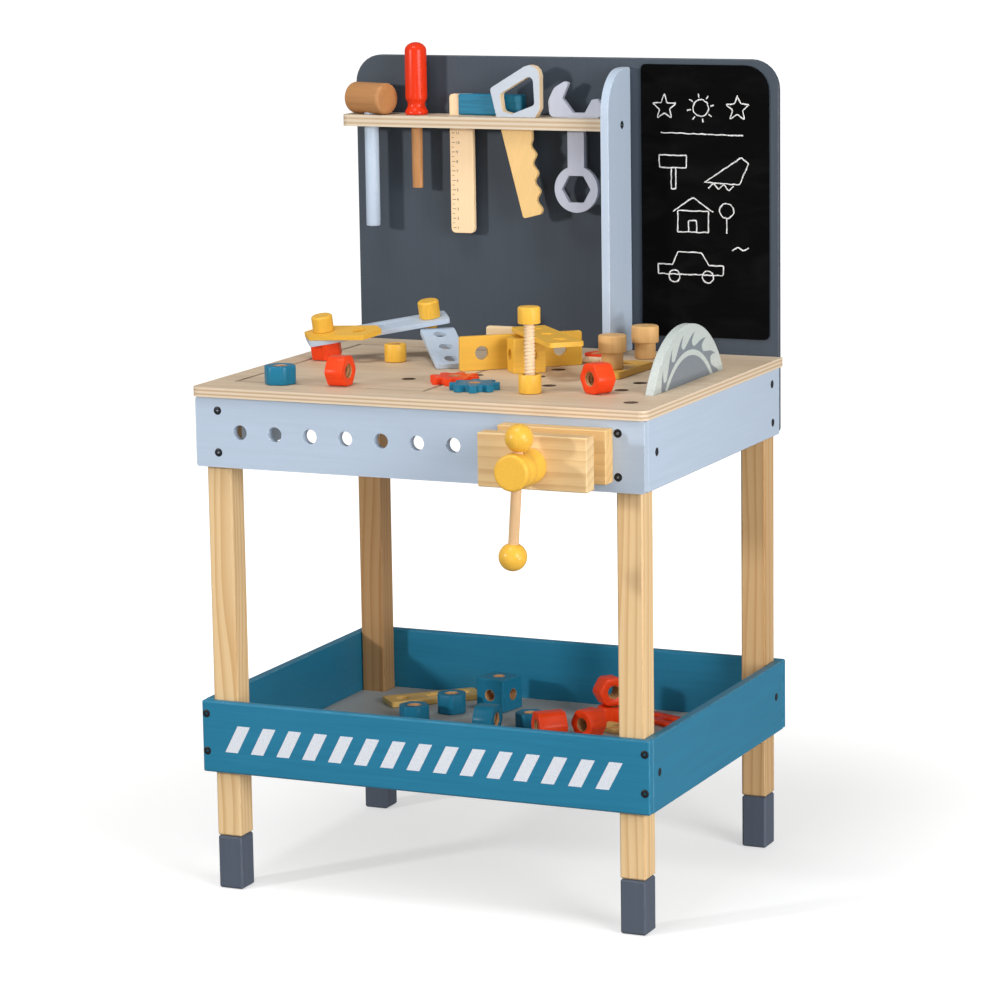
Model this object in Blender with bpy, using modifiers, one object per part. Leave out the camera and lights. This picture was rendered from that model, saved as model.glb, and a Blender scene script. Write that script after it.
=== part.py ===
"""A child's wooden workbench: table with vise and saw slot, tool rack, chalkboard, tray and loose parts.

Units are metres, +Z is up.  Inside this file Y is measured from the front face of the front apron
towards the back, and one empty shifts everything so that the origin is the middle of the footprint.
"""

import math

import bmesh
import bpy
from mathutils import Matrix, Vector

# ---------------------------------------------------------------- driving dimensions
GAP = 0.0003                # clearance left between pieces that touch
APRON_W = 0.480             # width over the side aprons
APRON_Z = (0.436, 0.506)    # lower and upper edge of the aprons
FRONT_T = 0.009             # front apron, tray boards
SIDE_T = 0.006              # side aprons
BACK_Y = 0.372              # plane where the legs and side boards end
TOP_Z = 0.516               # upper face of the table
TOP_LIP = 0.003             # overhang of the table at the front and sides
LEG = 0.027                 # square section of the legs
LEG_OUT = 0.2337            # outer face of the legs
FOOT_H = 0.055
TRAY_W = 0.486
TRAY_Z = (0.123, 0.197)
TRAY_FLOOR_Z = (0.126, 0.132)
PANEL_W = 0.478
PANEL_T = 0.0057
PANEL_TOP = 0.820
RACK_Z = (0.747, 0.759)
RACK_X = (-0.238, 0.0677)
RACK_DEPTH = 0.040
TOOL_Y = BACK_Y - RACK_DEPTH / 2
DIVIDER_X = (0.068, 0.077)
DIVIDER_DEPTH = 0.061
CHALK_X = (0.089, 0.229)
CHALK_Z = (0.533, 0.814)
VISE_X = 0.150              # screw axis
VISE_Z = 0.469
JAW_X = (0.096, 0.208)
JAW_Z = (0.446, 0.498)
JAW_T = 0.018
JAW_GAP = 0.028             # opening between the jaws at rest
THROUGH_JAW = 0.030         # length of the cutters that bore the jaws
SCREW_R = 0.007
GUIDE_R = 0.005             # dowels that keep the moving jaw square
GUIDE_X = (0.112, 0.190)
RUNNING = 0.0006            # radial clearance of the dowels in their bores
SCREW_PLAY = 0.0008         # radial clearance of the screw
KNOB_R = 0.0175
KNOB_L = 0.045
HANDLE_R = 0.005
HANDLE_SPAN = 0.113         # between the centres of the two balls
HANDLE_TILT = math.radians(4.0)
BALL_R = 0.0135
SAW_X = 0.209               # plane of the circular saw segment
SAW_Y = 0.184
SAW_T = 0.009
SAW_R = 0.107
SAW_RISE = 0.057            # height of the segment above the table
SAW_FOOT_Z = 0.470          # lower edge of the segment, on its rail
PEG_HOLE_R = 0.007
PEG_HOLES = ((-0.059, 0.113), (-0.005, 0.158), (0.058, 0.169), (0.058, 0.219),
             (0.092, 0.117), (0.171, 0.112), (0.171, 0.161), (0.209, 0.043))
APRON_HOLE_R = 0.0075
APRON_HOLE_Z = 0.472
APRON_HOLES = [-0.1907 + 0.0387 * i for i in range(7)]
BOLT_R = 0.0065             # shanks of the loose bolts
NUT_AF = 0.0295             # across flats of the loose hex nuts
NUT_H = 0.017
PLANK_T = 0.005             # loose construction planks
PLANK_W = 0.036

MOVING_JAW_Y = -(2 * JAW_T + JAW_GAP)          # front face of the moving jaw
FOOTPRINT_Y = (MOVING_JAW_Y - GAP - KNOB_L, BACK_Y + FRONT_T)

# ---------------------------------------------------------------- scene set-up
for old in list(bpy.data.objects):
    bpy.data.objects.remove(old, do_unlink=True)

parts = bpy.data.collections.new("toy_workbench")
cutters = bpy.data.collections.new("cutters")
bpy.context.scene.collection.children.link(parts)
bpy.context.scene.collection.children.link(cutters)

PALETTE = {
    "paint_blue": ((0.49, 0.58, 0.72), 0.45),
    "paint_teal": ((0.02, 0.20, 0.33), 0.45),
    "paint_slate": ((0.07, 0.09, 0.12), 0.50),
    "chalk_black": ((0.005, 0.005, 0.006), 0.60),
    "pine": ((0.72, 0.50, 0.27), 0.55),
    "plywood": ((0.74, 0.57, 0.38), 0.55),
    "grey_board": ((0.36, 0.39, 0.39), 0.60),
    "yellow": ((0.92, 0.56, 0.04), 0.40),
    "red": ((0.90, 0.06, 0.01), 0.40),
    "teal": ((0.01, 0.21, 0.38), 0.40),
    "brown": ((0.50, 0.22, 0.07), 0.50),
    "tan": ((0.78, 0.52, 0.22), 0.55),
    "pale_blue": ((0.50, 0.60, 0.74), 0.45),
    "saw_grey": ((0.45, 0.52, 0.50), 0.45),
}


def material(colour):
    """The Principled material of one colour, made once."""
    known = bpy.data.materials.get(colour)
    if known:
        return known
    made = bpy.data.materials.new(colour)
    made.use_nodes = True
    shader = made.node_tree.nodes["Principled BSDF"]
    base, roughness = PALETTE[colour]
    shader.inputs["Base Color"].default_value = (*base, 1.0)
    shader.inputs["Roughness"].default_value = roughness
    shader.inputs["Metallic"].default_value = 0.0
    return made


def empty(name, at, parent=None, turn=(0, 0, 0)):
    """An empty that carries the pieces of one moving body."""
    frame = bpy.data.objects.new(name, None)
    parts.objects.link(frame)
    frame.parent = parent
    frame.location = at
    frame.rotation_euler = turn
    return frame


bench = empty("bench_frame", (0, -sum(FOOTPRINT_Y) / 2, 0))


def add_piece(name, mesh, colour, at=(0, 0, 0), turn=(0, 0, 0), parent=None):
    """Link a mesh as a named sub-part."""
    mesh.materials.clear()
    mesh.materials.append(material(colour))
    piece = bpy.data.objects.new(name, mesh)
    parts.objects.link(piece)
    piece.parent = parent or bench
    piece.location = at
    piece.rotation_euler = turn
    return piece


def smooth(piece, angle=35):
    """Shade a round piece smooth, keeping its hard edges."""
    piece.data.shade_smooth()
    piece.data.set_sharp_from_angle(angle=math.radians(angle))
    return piece


def bevel(piece, width, segments=1, angle=40):
    """Ease the sharp edges of a piece."""
    modifier = piece.modifiers.new("eased_edges", "BEVEL")
    modifier.width = width
    modifier.segments = segments
    modifier.limit_method = "ANGLE"
    modifier.angle_limit = math.radians(angle)
    return piece


def cut(piece, cutter):
    """Take a cutter's shape out of a piece."""
    cutter.display_type = "WIRE"
    cutter.hide_render = True
    for home in list(cutter.users_collection):
        home.objects.unlink(cutter)
    cutters.objects.link(cutter)
    modifier = piece.modifiers.new(cutter.name, "BOOLEAN")
    modifier.operation = "DIFFERENCE"
    modifier.solver = "EXACT"
    modifier.object = cutter
    return piece


# ---------------------------------------------------------------- shapes
def box_mesh(name, size):
    shape = bmesh.new()
    bmesh.ops.create_cube(shape, size=1.0)
    bmesh.ops.scale(shape, vec=size, verts=shape.verts)
    mesh = bpy.data.meshes.new(name)
    shape.to_mesh(mesh)
    shape.free()
    return mesh


def board(name, low, high, colour, edge=0.0008, parent=None, turn=(0, 0, 0)):
    """A rectangular board between two corners, with eased edges."""
    low, high = Vector(low), Vector(high)
    piece = add_piece(name, box_mesh(name, high - low), colour, (low + high) / 2, turn, parent)
    return bevel(piece, edge) if edge else piece


def rod_mesh(name, radius, length, segments):
    shape = bmesh.new()
    bmesh.ops.create_cone(shape, cap_ends=True, segments=segments, radius1=radius, radius2=radius,
                          depth=length)
    mesh = bpy.data.meshes.new(name)
    shape.to_mesh(mesh)
    shape.free()
    return mesh


ALONG = {"X": (0, math.pi / 2, 0), "Y": (math.pi / 2, 0, 0), "Z": (0, 0, 0)}


def rod(name, radius, length, axis, at, colour="pine", parent=None, segments=24, edge=0.0):
    """A dowel along X, Y or Z, centred at a point."""
    piece = add_piece(name, rod_mesh(name, radius, length, segments), colour, at, ALONG[axis], parent)
    if edge:
        bevel(piece, edge)
    return smooth(piece)


def drill(piece, name, radius, length, axis, at, parent=None, segments=24):
    """Drill a round hole."""
    return cut(piece, rod(name, radius, length, axis, at, parent=parent, segments=segments))


def turned(name, profile, colour, at=(0, 0, 0), turn=(0, 0, 0), parent=None, segments=28):
    """A piece turned about its Z axis; the profile runs down its outer side as (radius, height)."""
    mesh = bpy.data.meshes.new(name)
    mesh.from_pydata([(r, 0, z) for r, z in profile], [(i, i + 1) for i in range(len(profile) - 1)], [])
    piece = add_piece(name, mesh, colour, at, turn, parent)
    spin = piece.modifiers.new("turned", "SCREW")
    spin.axis = "Z"
    spin.angle = 2 * math.pi
    spin.steps = segments
    spin.render_steps = segments
    spin.use_merge_vertices = True
    spin.merge_threshold = 0.00002
    spin.use_smooth_shade = True
    return piece


def hexagon(reach, x=0.0, y=0.0):
    """A hexagon's corners, at this distance from a point, the first at +X."""
    return [(x + reach * math.cos(math.radians(a)), y + reach * math.sin(math.radians(a)))
            for a in range(0, 360, 60)]


def circle(x, y, radius, steps=20):
    """Points of a circle."""
    return [(x + radius * math.cos(2 * math.pi * i / steps), y + radius * math.sin(2 * math.pi * i / steps))
            for i in range(steps)]


def rounded(corners, radii, steps=4):
    """A closed outline whose corners are arcs; radii is one number or one for each corner."""
    if isinstance(radii, (int, float)):
        radii = [radii] * len(corners)
    outline = []
    for i, (corner, radius) in enumerate(zip(corners, radii)):
        point = Vector(corner)
        to_last = (Vector(corners[i - 1]) - point).normalized()
        to_next = (Vector(corners[(i + 1) % len(corners)]) - point).normalized()
        half = math.acos(max(-1.0, min(1.0, to_last.dot(to_next)))) / 2
        if radius <= 0 or half > math.radians(88):
            outline.append(tuple(point))
            continue
        reach = radius / math.tan(half)
        centre = point + (to_last + to_next).normalized() * (radius / math.sin(half))
        first = point + to_last * reach - centre
        last = point + to_next * reach - centre
        sweep = first.angle_signed(last)
        for step in range(steps + 1):
            arm = first.copy()
            arm.rotate(Matrix.Rotation(-sweep * step / steps, 2))
            outline.append(tuple(centre + arm))
    return outline


def rectangle(x0, x1, y0, y1):
    return [(x0, y0), (x1, y0), (x1, y1), (x0, y1)]


def plate_mesh(name, loops, thickness):
    """A flat plate in the XY plane: the first loop is its outline and the others are holes."""
    curve = bpy.data.curves.new(name, "CURVE")
    curve.dimensions = "2D"
    curve.fill_mode = "BOTH"
    curve.extrude = thickness / 2
    for loop in loops:
        spline = curve.splines.new("POLY")
        spline.points.add(len(loop) - 1)
        for point, (x, y) in zip(spline.points, loop):
            point.co = (x, y, 0, 1)
        spline.use_cyclic_u = True
    drawing = bpy.data.objects.new(name + "_drawing", curve)
    cutters.objects.link(drawing)
    bpy.context.view_layer.update()
    evaluated = drawing.evaluated_get(bpy.context.evaluated_depsgraph_get())
    mesh = bpy.data.meshes.new_from_object(evaluated)
    bpy.data.objects.remove(drawing, do_unlink=True)
    shape = bmesh.new()
    shape.from_mesh(mesh)
    bmesh.ops.remove_doubles(shape, verts=shape.verts, dist=0.00001)
    bmesh.ops.recalc_face_normals(shape, faces=shape.faces)
    shape.to_mesh(mesh)
    shape.free()
    mesh.name = name
    return mesh


def plate(name, loops, thickness, colour, at=(0, 0, 0), turn=(0, 0, 0), parent=None):
    """A flat plate with holes, centred on its thickness."""
    return smooth(add_piece(name, plate_mesh(name, loops, thickness), colour, at, turn, parent), 30)


UPRIGHT = (math.pi / 2, 0, 0)       # a plate drawn in (x, z), facing -Y


# ---------------------------------------------------------------- table
def build_table():
    half = APRON_W / 2
    outline = rounded(rectangle(-half - TOP_LIP, half + TOP_LIP, -TOP_LIP, BACK_Y), [0.008, 0.008, 0, 0])
    slot_x = SAW_T / 2 + 0.001
    slot_y = math.sqrt(SAW_R ** 2 - (SAW_R - SAW_RISE) ** 2) + 0.002
    slot = rectangle(SAW_X - slot_x, SAW_X + slot_x, SAW_Y - slot_y, SAW_Y + slot_y)
    holes = [circle(x, y, PEG_HOLE_R) for x, y in PEG_HOLES]
    low = APRON_Z[1] + GAP
    top = plate("tabletop", [outline, slot, *holes], TOP_Z - low, "plywood", (0, 0, (TOP_Z + low) / 2))
    frame_line = [rectangle(-0.217, -0.009, 0.043, 0.325), rectangle(-0.215, -0.011, 0.045, 0.323)]
    groove = plate("groove_cutter", frame_line, 0.003, "plywood", (0, 0, TOP_Z))
    cut(top, groove)

    holes = [circle(x, APRON_HOLE_Z, APRON_HOLE_R) for x in APRON_HOLES]
    screw_hole = circle(VISE_X, VISE_Z, SCREW_R + SCREW_PLAY, 24)
    guide_holes = [circle(x, VISE_Z, GUIDE_R + RUNNING) for x in GUIDE_X]
    outline = rounded(rectangle(-half, half, *APRON_Z), 0.003)
    plate("front_apron", [outline, *holes, screw_hole, *guide_holes], FRONT_T, "paint_blue",
          (0, FRONT_T / 2, 0), UPRIGHT)
    for side, sign in (("left", -1), ("right", 1)):
        xs = sorted((sign * half, sign * (half - SIDE_T)))
        board(side + "_apron", (xs[0], FRONT_T + GAP, APRON_Z[0]), (xs[1], BACK_Y - GAP, APRON_Z[1]),
              "paint_blue")


# ---------------------------------------------------------------- legs, feet, tray
def build_legs():
    for row, y0 in (("front", FRONT_T + GAP), ("rear", BACK_Y - GAP - LEG)):
        for side, sign in (("left", -1), ("right", 1)):
            x, y = sign * (LEG_OUT - LEG / 2), y0 + LEG / 2
            low, high = (x - LEG / 2, y - LEG / 2), (x + LEG / 2, y + LEG / 2)
            board(f"{row}_{side}_leg", (*low, FOOT_H + GAP), (*high, APRON_Z[1]), "pine", 0.0015)
            board(f"{row}_{side}_foot", (*low, 0), (*high, FOOT_H), "paint_slate", 0.0018)


def build_tray():
    half, inner = TRAY_W / 2, TRAY_W / 2 - FRONT_T
    low, high = TRAY_Z
    board("tray_front", (-half, 0, low), (half, FRONT_T, high), "paint_teal", 0.0015)
    board("tray_back", (-half, BACK_Y + GAP, low), (half, BACK_Y + FRONT_T, high), "paint_teal", 0.0015)
    board("tray_left", (-half, FRONT_T + GAP, low), (-inner, BACK_Y, high), "paint_teal")
    board("tray_right", (inner, FRONT_T + GAP, low), (half, BACK_Y, high), "paint_teal")
    x, notch = inner - GAP, inner - GAP - (LEG + 2 * GAP)
    y0, y1 = FRONT_T + GAP, BACK_Y - GAP
    step = LEG + 2 * GAP
    right = [(notch, y0), (notch, y0 + step), (x, y0 + step), (x, y1 - step), (notch, y1 - step), (notch, y1)]
    outline = [*right, *[(-px, py) for px, py in reversed(right)]]
    floor_low, floor_high = TRAY_FLOOR_Z
    plate("tray_floor", [outline], floor_high - floor_low, "grey_board", (0, 0, (floor_low + floor_high) / 2))


# ---------------------------------------------------------------- back panel, divider, rack
def build_back():
    half = PANEL_W / 2
    outline = rounded(rectangle(-half, half, APRON_Z[0], PANEL_TOP), [0.006, 0.006, 0.030, 0.030], 8)
    plate("back_panel", [outline], PANEL_T, "paint_slate", (0, BACK_Y + GAP + PANEL_T / 2, 0), UPRIGHT)
    outline = rounded(rectangle(*CHALK_X, *CHALK_Z), [0.006, 0.006, 0.026, 0.005], 6)
    plate("chalkboard", [outline], 0.0015, "chalk_black", (0, BACK_Y - 0.0008, 0), UPRIGHT)

    front = BACK_Y - DIVIDER_DEPTH
    top, rear = 0.811, BACK_Y - GAP
    outline = rounded([(front, TOP_Z + GAP), (rear, TOP_Z + GAP), (rear, top), (front, top)],
                      [0.004, 0, 0.004, 0.045], 10)
    plate("divider", [outline], DIVIDER_X[1] - DIVIDER_X[0], "paint_blue",
          (sum(DIVIDER_X) / 2, 0, 0), (math.pi / 2, 0, math.pi / 2))

    y0, y1 = BACK_Y - RACK_DEPTH, BACK_Y - GAP
    outline = rounded(rectangle(*RACK_X, y0, y1), [0.008, 0, 0, 0.002], 5)
    slots = [circle(HAMMER_X, HAMMER_Y, HAMMER_R + 0.0007), circle(DRIVER_X, TOOL_Y, DRIVER_R + 0.0007),
             *[rectangle(x0, x1, y - t / 2 - 0.0006, y + t / 2 + 0.0006) for x0, x1, y, t in RACK_SLOTS]]
    plate("tool_rack", [outline, *slots], RACK_Z[1] - RACK_Z[0], "plywood", (0, 0, sum(RACK_Z) / 2))


# ---------------------------------------------------------------- hanging tools
HAMMER_X = -0.2095
HAMMER_Y = TOOL_Y - 0.0045  # its turned head clears the panel
HAMMER_R = 0.0075
DRIVER_X = -0.1585
DRIVER_R = 0.0058
SQUARE_X = (-0.1228, -0.0960)
SQUARE_T = 0.006
SQUARE_Y = TOOL_Y + 0.008   # behind the hand saw
HAND_SAW_Y = TOOL_Y - 0.008
SAW_BLADE_T = 0.006
SAW_SLOT = (-0.0675, -0.0175)
WRENCH_X = 0.0245
WRENCH_T = 0.006
WRENCH_RING_R = 0.0243
RACK_SLOTS = ((SQUARE_X[0] - 0.0006, SQUARE_X[1] + 0.0006, SQUARE_Y, SQUARE_T),
              (SAW_SLOT[0], SAW_SLOT[1], HAND_SAW_Y, SAW_BLADE_T),
              (WRENCH_X - WRENCH_RING_R - 0.0006, WRENCH_X + WRENCH_RING_R + 0.0006, TOOL_Y, WRENCH_T))


def build_hammer():
    radius, half = 0.0165, 0.025
    centre = (HAMMER_X, HAMMER_Y, RACK_Z[1] + GAP + radius)
    head = empty("hammer_frame", centre, bench, (0, 0, math.radians(-19)))
    profile = [(0, half), (radius - 0.0035, half), (radius - 0.0012, half - 0.0012), (radius, half - 0.004),
               (radius, 0.004 - half), (radius - 0.0012, 0.0012 - half), (radius - 0.0035, -half), (0, -half)]
    piece = turned("hammer_head", profile, "brown", turn=ALONG["X"], parent=head, segments=36)
    drill(piece, "hammer_eye", HAMMER_R + GAP, 0.045, "Z", (0, 0, -0.0125), parent=head)
    top, low = 0.0095, 0.6405 - head.location.z
    rod("hammer_handle", HAMMER_R, top - low, "Z", (0, 0, (top + low) / 2), "pale_blue", head, edge=0.001)


def build_screwdriver():
    base, top = RACK_Z[1] + GAP, 0.835
    shaft_top = base + 0.030
    stem = empty("screwdriver_frame", (DRIVER_X, TOOL_Y, base), bench)
    h = top - base
    dome = [(0.0115 * math.sin(a), h - 0.006 + 0.006 * math.cos(a)) for a in
            [math.radians(d) for d in (0, 30, 55, 75, 90)]]
    profile = [*dome, (0.0115, 0.036), (0.0108, 0.031), (0.0090, 0.026), (0.0088, 0.018), (0.0098, 0.010),
               (0.0118, 0.005), (0.0121, 0.002), (0.0115, 0.0), (0, 0.0)]
    handle = turned("screwdriver_handle", profile, "red", parent=stem)
    drill(handle, "screwdriver_socket", DRIVER_R + GAP, 0.060, "Z", (0, 0, 0), parent=stem)
    low = 0.682 - base
    high = shaft_top - base - GAP
    r = DRIVER_R
    profile = [(0, high), (r, high), (r, low + 0.014), (r, low + 0.001), (r - 0.001, low), (0, low)]
    turned("screwdriver_shank", profile, "brown", parent=stem, segments=20)


def build_square():
    x0, x1 = SQUARE_X
    base = RACK_Z[1] + GAP
    stock_x = (-0.1115, -0.038)
    outline = rounded([(x0, 0.6345), (x1, 0.6345), (x1, 0.7810), (x0, 0.7810)], [0.005, 0.005, 0.002, 0.004])
    frame = empty("square_frame", (0, SQUARE_Y, 0), bench)
    plate("square_blade", [outline], SQUARE_T, "plywood", turn=UPRIGHT, parent=frame)
    stock = board("square_stock", (stock_x[0], -0.006, base), (stock_x[1], 0.006, base + 0.022), "teal",
                  0.0012, frame)
    cut(stock, board("square_slot", (stock_x[0] - 0.01, -SQUARE_T / 2 - GAP, base - 0.01),
                     (x1 + GAP, SQUARE_T / 2 + GAP, base + 0.04), "teal", 0, frame))


def build_hand_saw():
    frame = empty("hand_saw_frame", (0, HAND_SAW_Y, 0), bench)
    base = RACK_Z[1] + GAP
    outline = rounded([(-0.0604, base), (-0.0167, base), (-0.0115, 0.7680), (-0.0113, 0.8219),
                       (-0.0676, 0.7886)], [0.001, 0.002, 0.004, 0.0113, 0.004])
    grip = rounded([(-0.0540, 0.7650), (-0.0430, 0.7625), (-0.0172, 0.7722), (-0.0188, 0.8045),
                    (-0.0565, 0.7830)], [0.005, 0.006, 0.004, 0.005, 0.004])
    plate("hand_saw_handle", [outline, grip], 0.010, "pale_blue", turn=UPRIGHT, parent=frame)
    top = base - GAP
    toe, heel = Vector((-0.0130, 0.6585)), Vector((-0.0215, 0.735))
    teeth, steps, wave = 4, 40, 0.0024
    edge = []
    for i in range(steps + 1):
        point = toe.lerp(heel, i / steps)
        point.x += wave * math.sin(2 * math.pi * teeth * i / steps)
        edge.append(tuple(point))
    corners = [(-0.0325, 0.6535), *edge, (heel.x, top), (-0.0600, top)]
    outline = rounded(corners, [0.003, *[0] * (len(corners) - 1)])
    plate("hand_saw_blade", [outline], SAW_BLADE_T, "tan", turn=UPRIGHT, parent=frame)


def build_wrench():
    frame = empty("wrench_frame", (WRENCH_X, TOOL_Y, 0), bench)
    base = RACK_Z[1] + GAP
    neck = 0.0092
    ring_z, ring_r = 0.6850, WRENCH_RING_R
    join = math.asin(neck / ring_r)
    ring = [(ring_r * math.sin(a), ring_z + ring_r * math.cos(a)) for a in
            [join + (2 * math.pi - 2 * join) * i / 30 for i in range(31)]]
    mouth = [(-0.0075, 0.7945), (-0.0145, 0.7790), (-0.0026, 0.7642), (0.0105, 0.7642), (0.0185, 0.7780)]
    jaw = rounded([(-neck, 0.742), (-neck, base), (-0.0290, base), (-0.0307, 0.7760), (-0.0235, 0.7900),
                   (-0.0120, 0.7965), *mouth, (0.0250, 0.7790), (0.0300, 0.7720), (0.0290, base),
                   (neck, base), (neck, 0.742)],
                  [0, 0, 0.006, 0.010, 0.010, 0.002, 0.001, 0.0015, 0.0015, 0.0015, 0.001, 0.003, 0.004,
                   0.006, 0, 0], 3)
    outline = [*ring, *jaw]
    eye = rounded(hexagon(0.0162, 0, ring_z), 0.0015, 2)
    plate("wrench", [outline, eye], WRENCH_T, "pale_blue", turn=UPRIGHT, parent=frame)


# ---------------------------------------------------------------- vise
def build_vise():
    fixed = board("vise_fixed_jaw", (JAW_X[0], -JAW_T, JAW_Z[0]), (JAW_X[1], -GAP, JAW_Z[1]), "pine", 0.001)
    drill(fixed, "fixed_jaw_bore", SCREW_R + SCREW_PLAY, THROUGH_JAW, "Y", (VISE_X, -JAW_T / 2, VISE_Z))
    for i, x in enumerate(GUIDE_X):
        drill(fixed, f"fixed_jaw_guide_bore_{i + 1}", GUIDE_R + RUNNING, THROUGH_JAW, "Y",
              (x, -JAW_T / 2, VISE_Z), segments=20)

    carriage = empty("vise_carriage", (0, MOVING_JAW_Y, 0), bench)
    moving = board("vise_moving_jaw", (JAW_X[0], 0, JAW_Z[0]), (JAW_X[1], JAW_T, JAW_Z[1]), "pine", 0.001,
                   carriage)
    drill(moving, "moving_jaw_bore", SCREW_R + SCREW_PLAY, THROUGH_JAW, "Y", (VISE_X, JAW_T / 2, VISE_Z),
          parent=carriage)
    socket_depth, guide_end = 0.012, 0.098
    start = JAW_T - socket_depth
    for i, x in enumerate(GUIDE_X):
        drill(moving, f"moving_jaw_socket_{i + 1}", GUIDE_R + GAP, THROUGH_JAW, "Y",
              (x, start + THROUGH_JAW / 2, VISE_Z), parent=carriage, segments=20)
        rod(f"vise_guide_dowel_{i + 1}", GUIDE_R, guide_end - start - GAP, "Y",
            (x, (guide_end + start + GAP) / 2, VISE_Z), "pine", carriage, segments=20)

    spindle = empty("vise_spindle", (VISE_X, 0, VISE_Z), carriage, (0, HANDLE_TILT, 0))
    r, front = KNOB_R, -GAP - KNOB_L
    profile = [(0, KNOB_L / 2), (r - 0.0025, KNOB_L / 2), (r, KNOB_L / 2 - 0.0022), (r, 0.001 - KNOB_L / 2),
               (r - 0.001, -KNOB_L / 2), (0, -KNOB_L / 2)]
    knob = turned("vise_knob", profile, "yellow", (0, -GAP - KNOB_L / 2, 0), ALONG["Y"], spindle, 36)
    socket = 0.012
    drill(knob, "knob_socket", SCREW_R + GAP, 2 * socket, "Y", (0, -GAP, 0), parent=spindle)
    bar_y = front + 0.0165
    drill(knob, "knob_cross_bore", HANDLE_R + RUNNING, 4 * KNOB_R, "Z", (0, bar_y, 0), parent=spindle,
          segments=20)
    y0, y1 = -socket, 0.126
    rod("vise_screw", SCREW_R, y1 - y0, "Y", (0, (y0 + y1) / 2, 0), "pine", spindle, edge=0.001)

    bar = empty("vise_bar_frame", (0, bar_y, 0), spindle)
    seat = math.sqrt(KNOB_R ** 2 - 0.0016 ** 2) + BALL_R
    top, low = seat, seat - HANDLE_SPAN
    neck = math.asin(HANDLE_R / BALL_R)

    def ball(centre, start, end, steps=9):
        angles = [start + (end - start) * i / steps for i in range(steps + 1)]
        return [(BALL_R * math.sin(a), centre + BALL_R * math.cos(a)) for a in angles]

    profile = [*ball(top, 0, math.pi - neck), *ball(low, neck, math.pi)]
    turned("vise_handle_bar", profile, "yellow", parent=bar, segments=24)

    nut_y, thick = FRONT_T + GAP, 0.016
    outline = rounded(hexagon(0.015), 0.0015, 2)
    plate("vise_nut", [outline, circle(0, 0, SCREW_R + RUNNING, 24)], thick, "pine",
          (VISE_X, nut_y + thick / 2, VISE_Z), UPRIGHT)


# ---------------------------------------------------------------- circular saw segment
def build_saw_disc():
    centre_z = TOP_Z + SAW_RISE - SAW_R
    half = math.sqrt(SAW_R ** 2 - (TOP_Z - centre_z) ** 2)
    low = SAW_FOOT_Z
    start = math.asin((TOP_Z - centre_z) / SAW_R)
    arc = [(SAW_R * math.cos(a), centre_z + SAW_R * math.sin(a)) for a in
           [start + (math.pi - 2 * start) * i / 40 for i in range(41)]]
    outline = [*arc, *rounded([(-half, low), (half, low)], 0)]
    plate("circular_saw_segment", [outline], SAW_T, "saw_grey", (SAW_X, SAW_Y, 0),
          (math.pi / 2, 0, math.pi / 2))
    rail_top = low - GAP
    board("saw_rest_rail", (0.2000, 0.060, rail_top - 0.008), (APRON_W / 2 - SIDE_T - GAP, 0.310, rail_top),
          "pine")


# ---------------------------------------------------------------- loose parts
def hex_loops(across, bore, corner=0.002):
    return [rounded(hexagon(across / math.sqrt(3)), corner, 2), circle(0, 0, bore)]


def hex_nut(name, colour, at, facing=None, height=NUT_H, parent=None, spin=0.0):
    """A nut lying flat, or standing on one flat with its bore facing a compass angle."""
    mesh = plate_mesh(name, hex_loops(NUT_AF, PEG_HOLE_R), height)
    if facing is None:
        piece = add_piece(name, mesh, colour, at, (0, 0, math.radians(spin)), parent)
    else:
        stand = Matrix.Rotation(math.radians(facing), 4, "Z") @ Matrix.Rotation(math.pi / 2, 4, "Y")
        level = Matrix.Rotation(math.radians(90), 4, "Z")
        piece = add_piece(name, mesh, colour, at, (stand @ level).to_euler(), parent)
    return smooth(bevel(piece, 0.0012))


def bolt(name, colour, at, shank, head_h=0.0165, head_r=0.0110, parent=None):
    """A bolt with a round head, whose lower face is at the given point; its shank points down."""
    r, ease = head_r, 0.0015
    profile = [(0, head_h), (r - ease, head_h), (r, head_h - ease), (r, 0), (BOLT_R, 0),
               (BOLT_R, -shank + 0.001), (BOLT_R - 0.001, -shank), (0, -shank)]
    return turned(name, profile, colour, at, parent=parent)


def round_nut(name, colour, at, height=0.0185, radius=0.0113, parent=None):
    """A round nut standing on the given point."""
    loops = [circle(0, 0, radius, 28), circle(0, 0, PEG_HOLE_R)]
    piece = plate(name, loops, height, colour, Vector(at) + Vector((0, 0, height / 2)), parent=parent)
    return smooth(bevel(piece, 0.0012))


def plank_loops(length, hole_at, pointed=False):
    """A construction plank along X with bolt holes at the given places."""
    half, w = length / 2, PLANK_W / 2
    if pointed:
        corners = [(-half, -0.004), (-half + 0.012, -w), (half - 0.012, -w), (half, 0.004), (half - 0.012, w),
                   (-half + 0.012, w)]
        outline = rounded(corners, 0.003, 2)
    else:
        outline = rounded(rectangle(-half, half, -w, w), 0.003, 3)
    return [outline, *[circle(x, 0, PEG_HOLE_R) for x in hole_at]]


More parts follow.
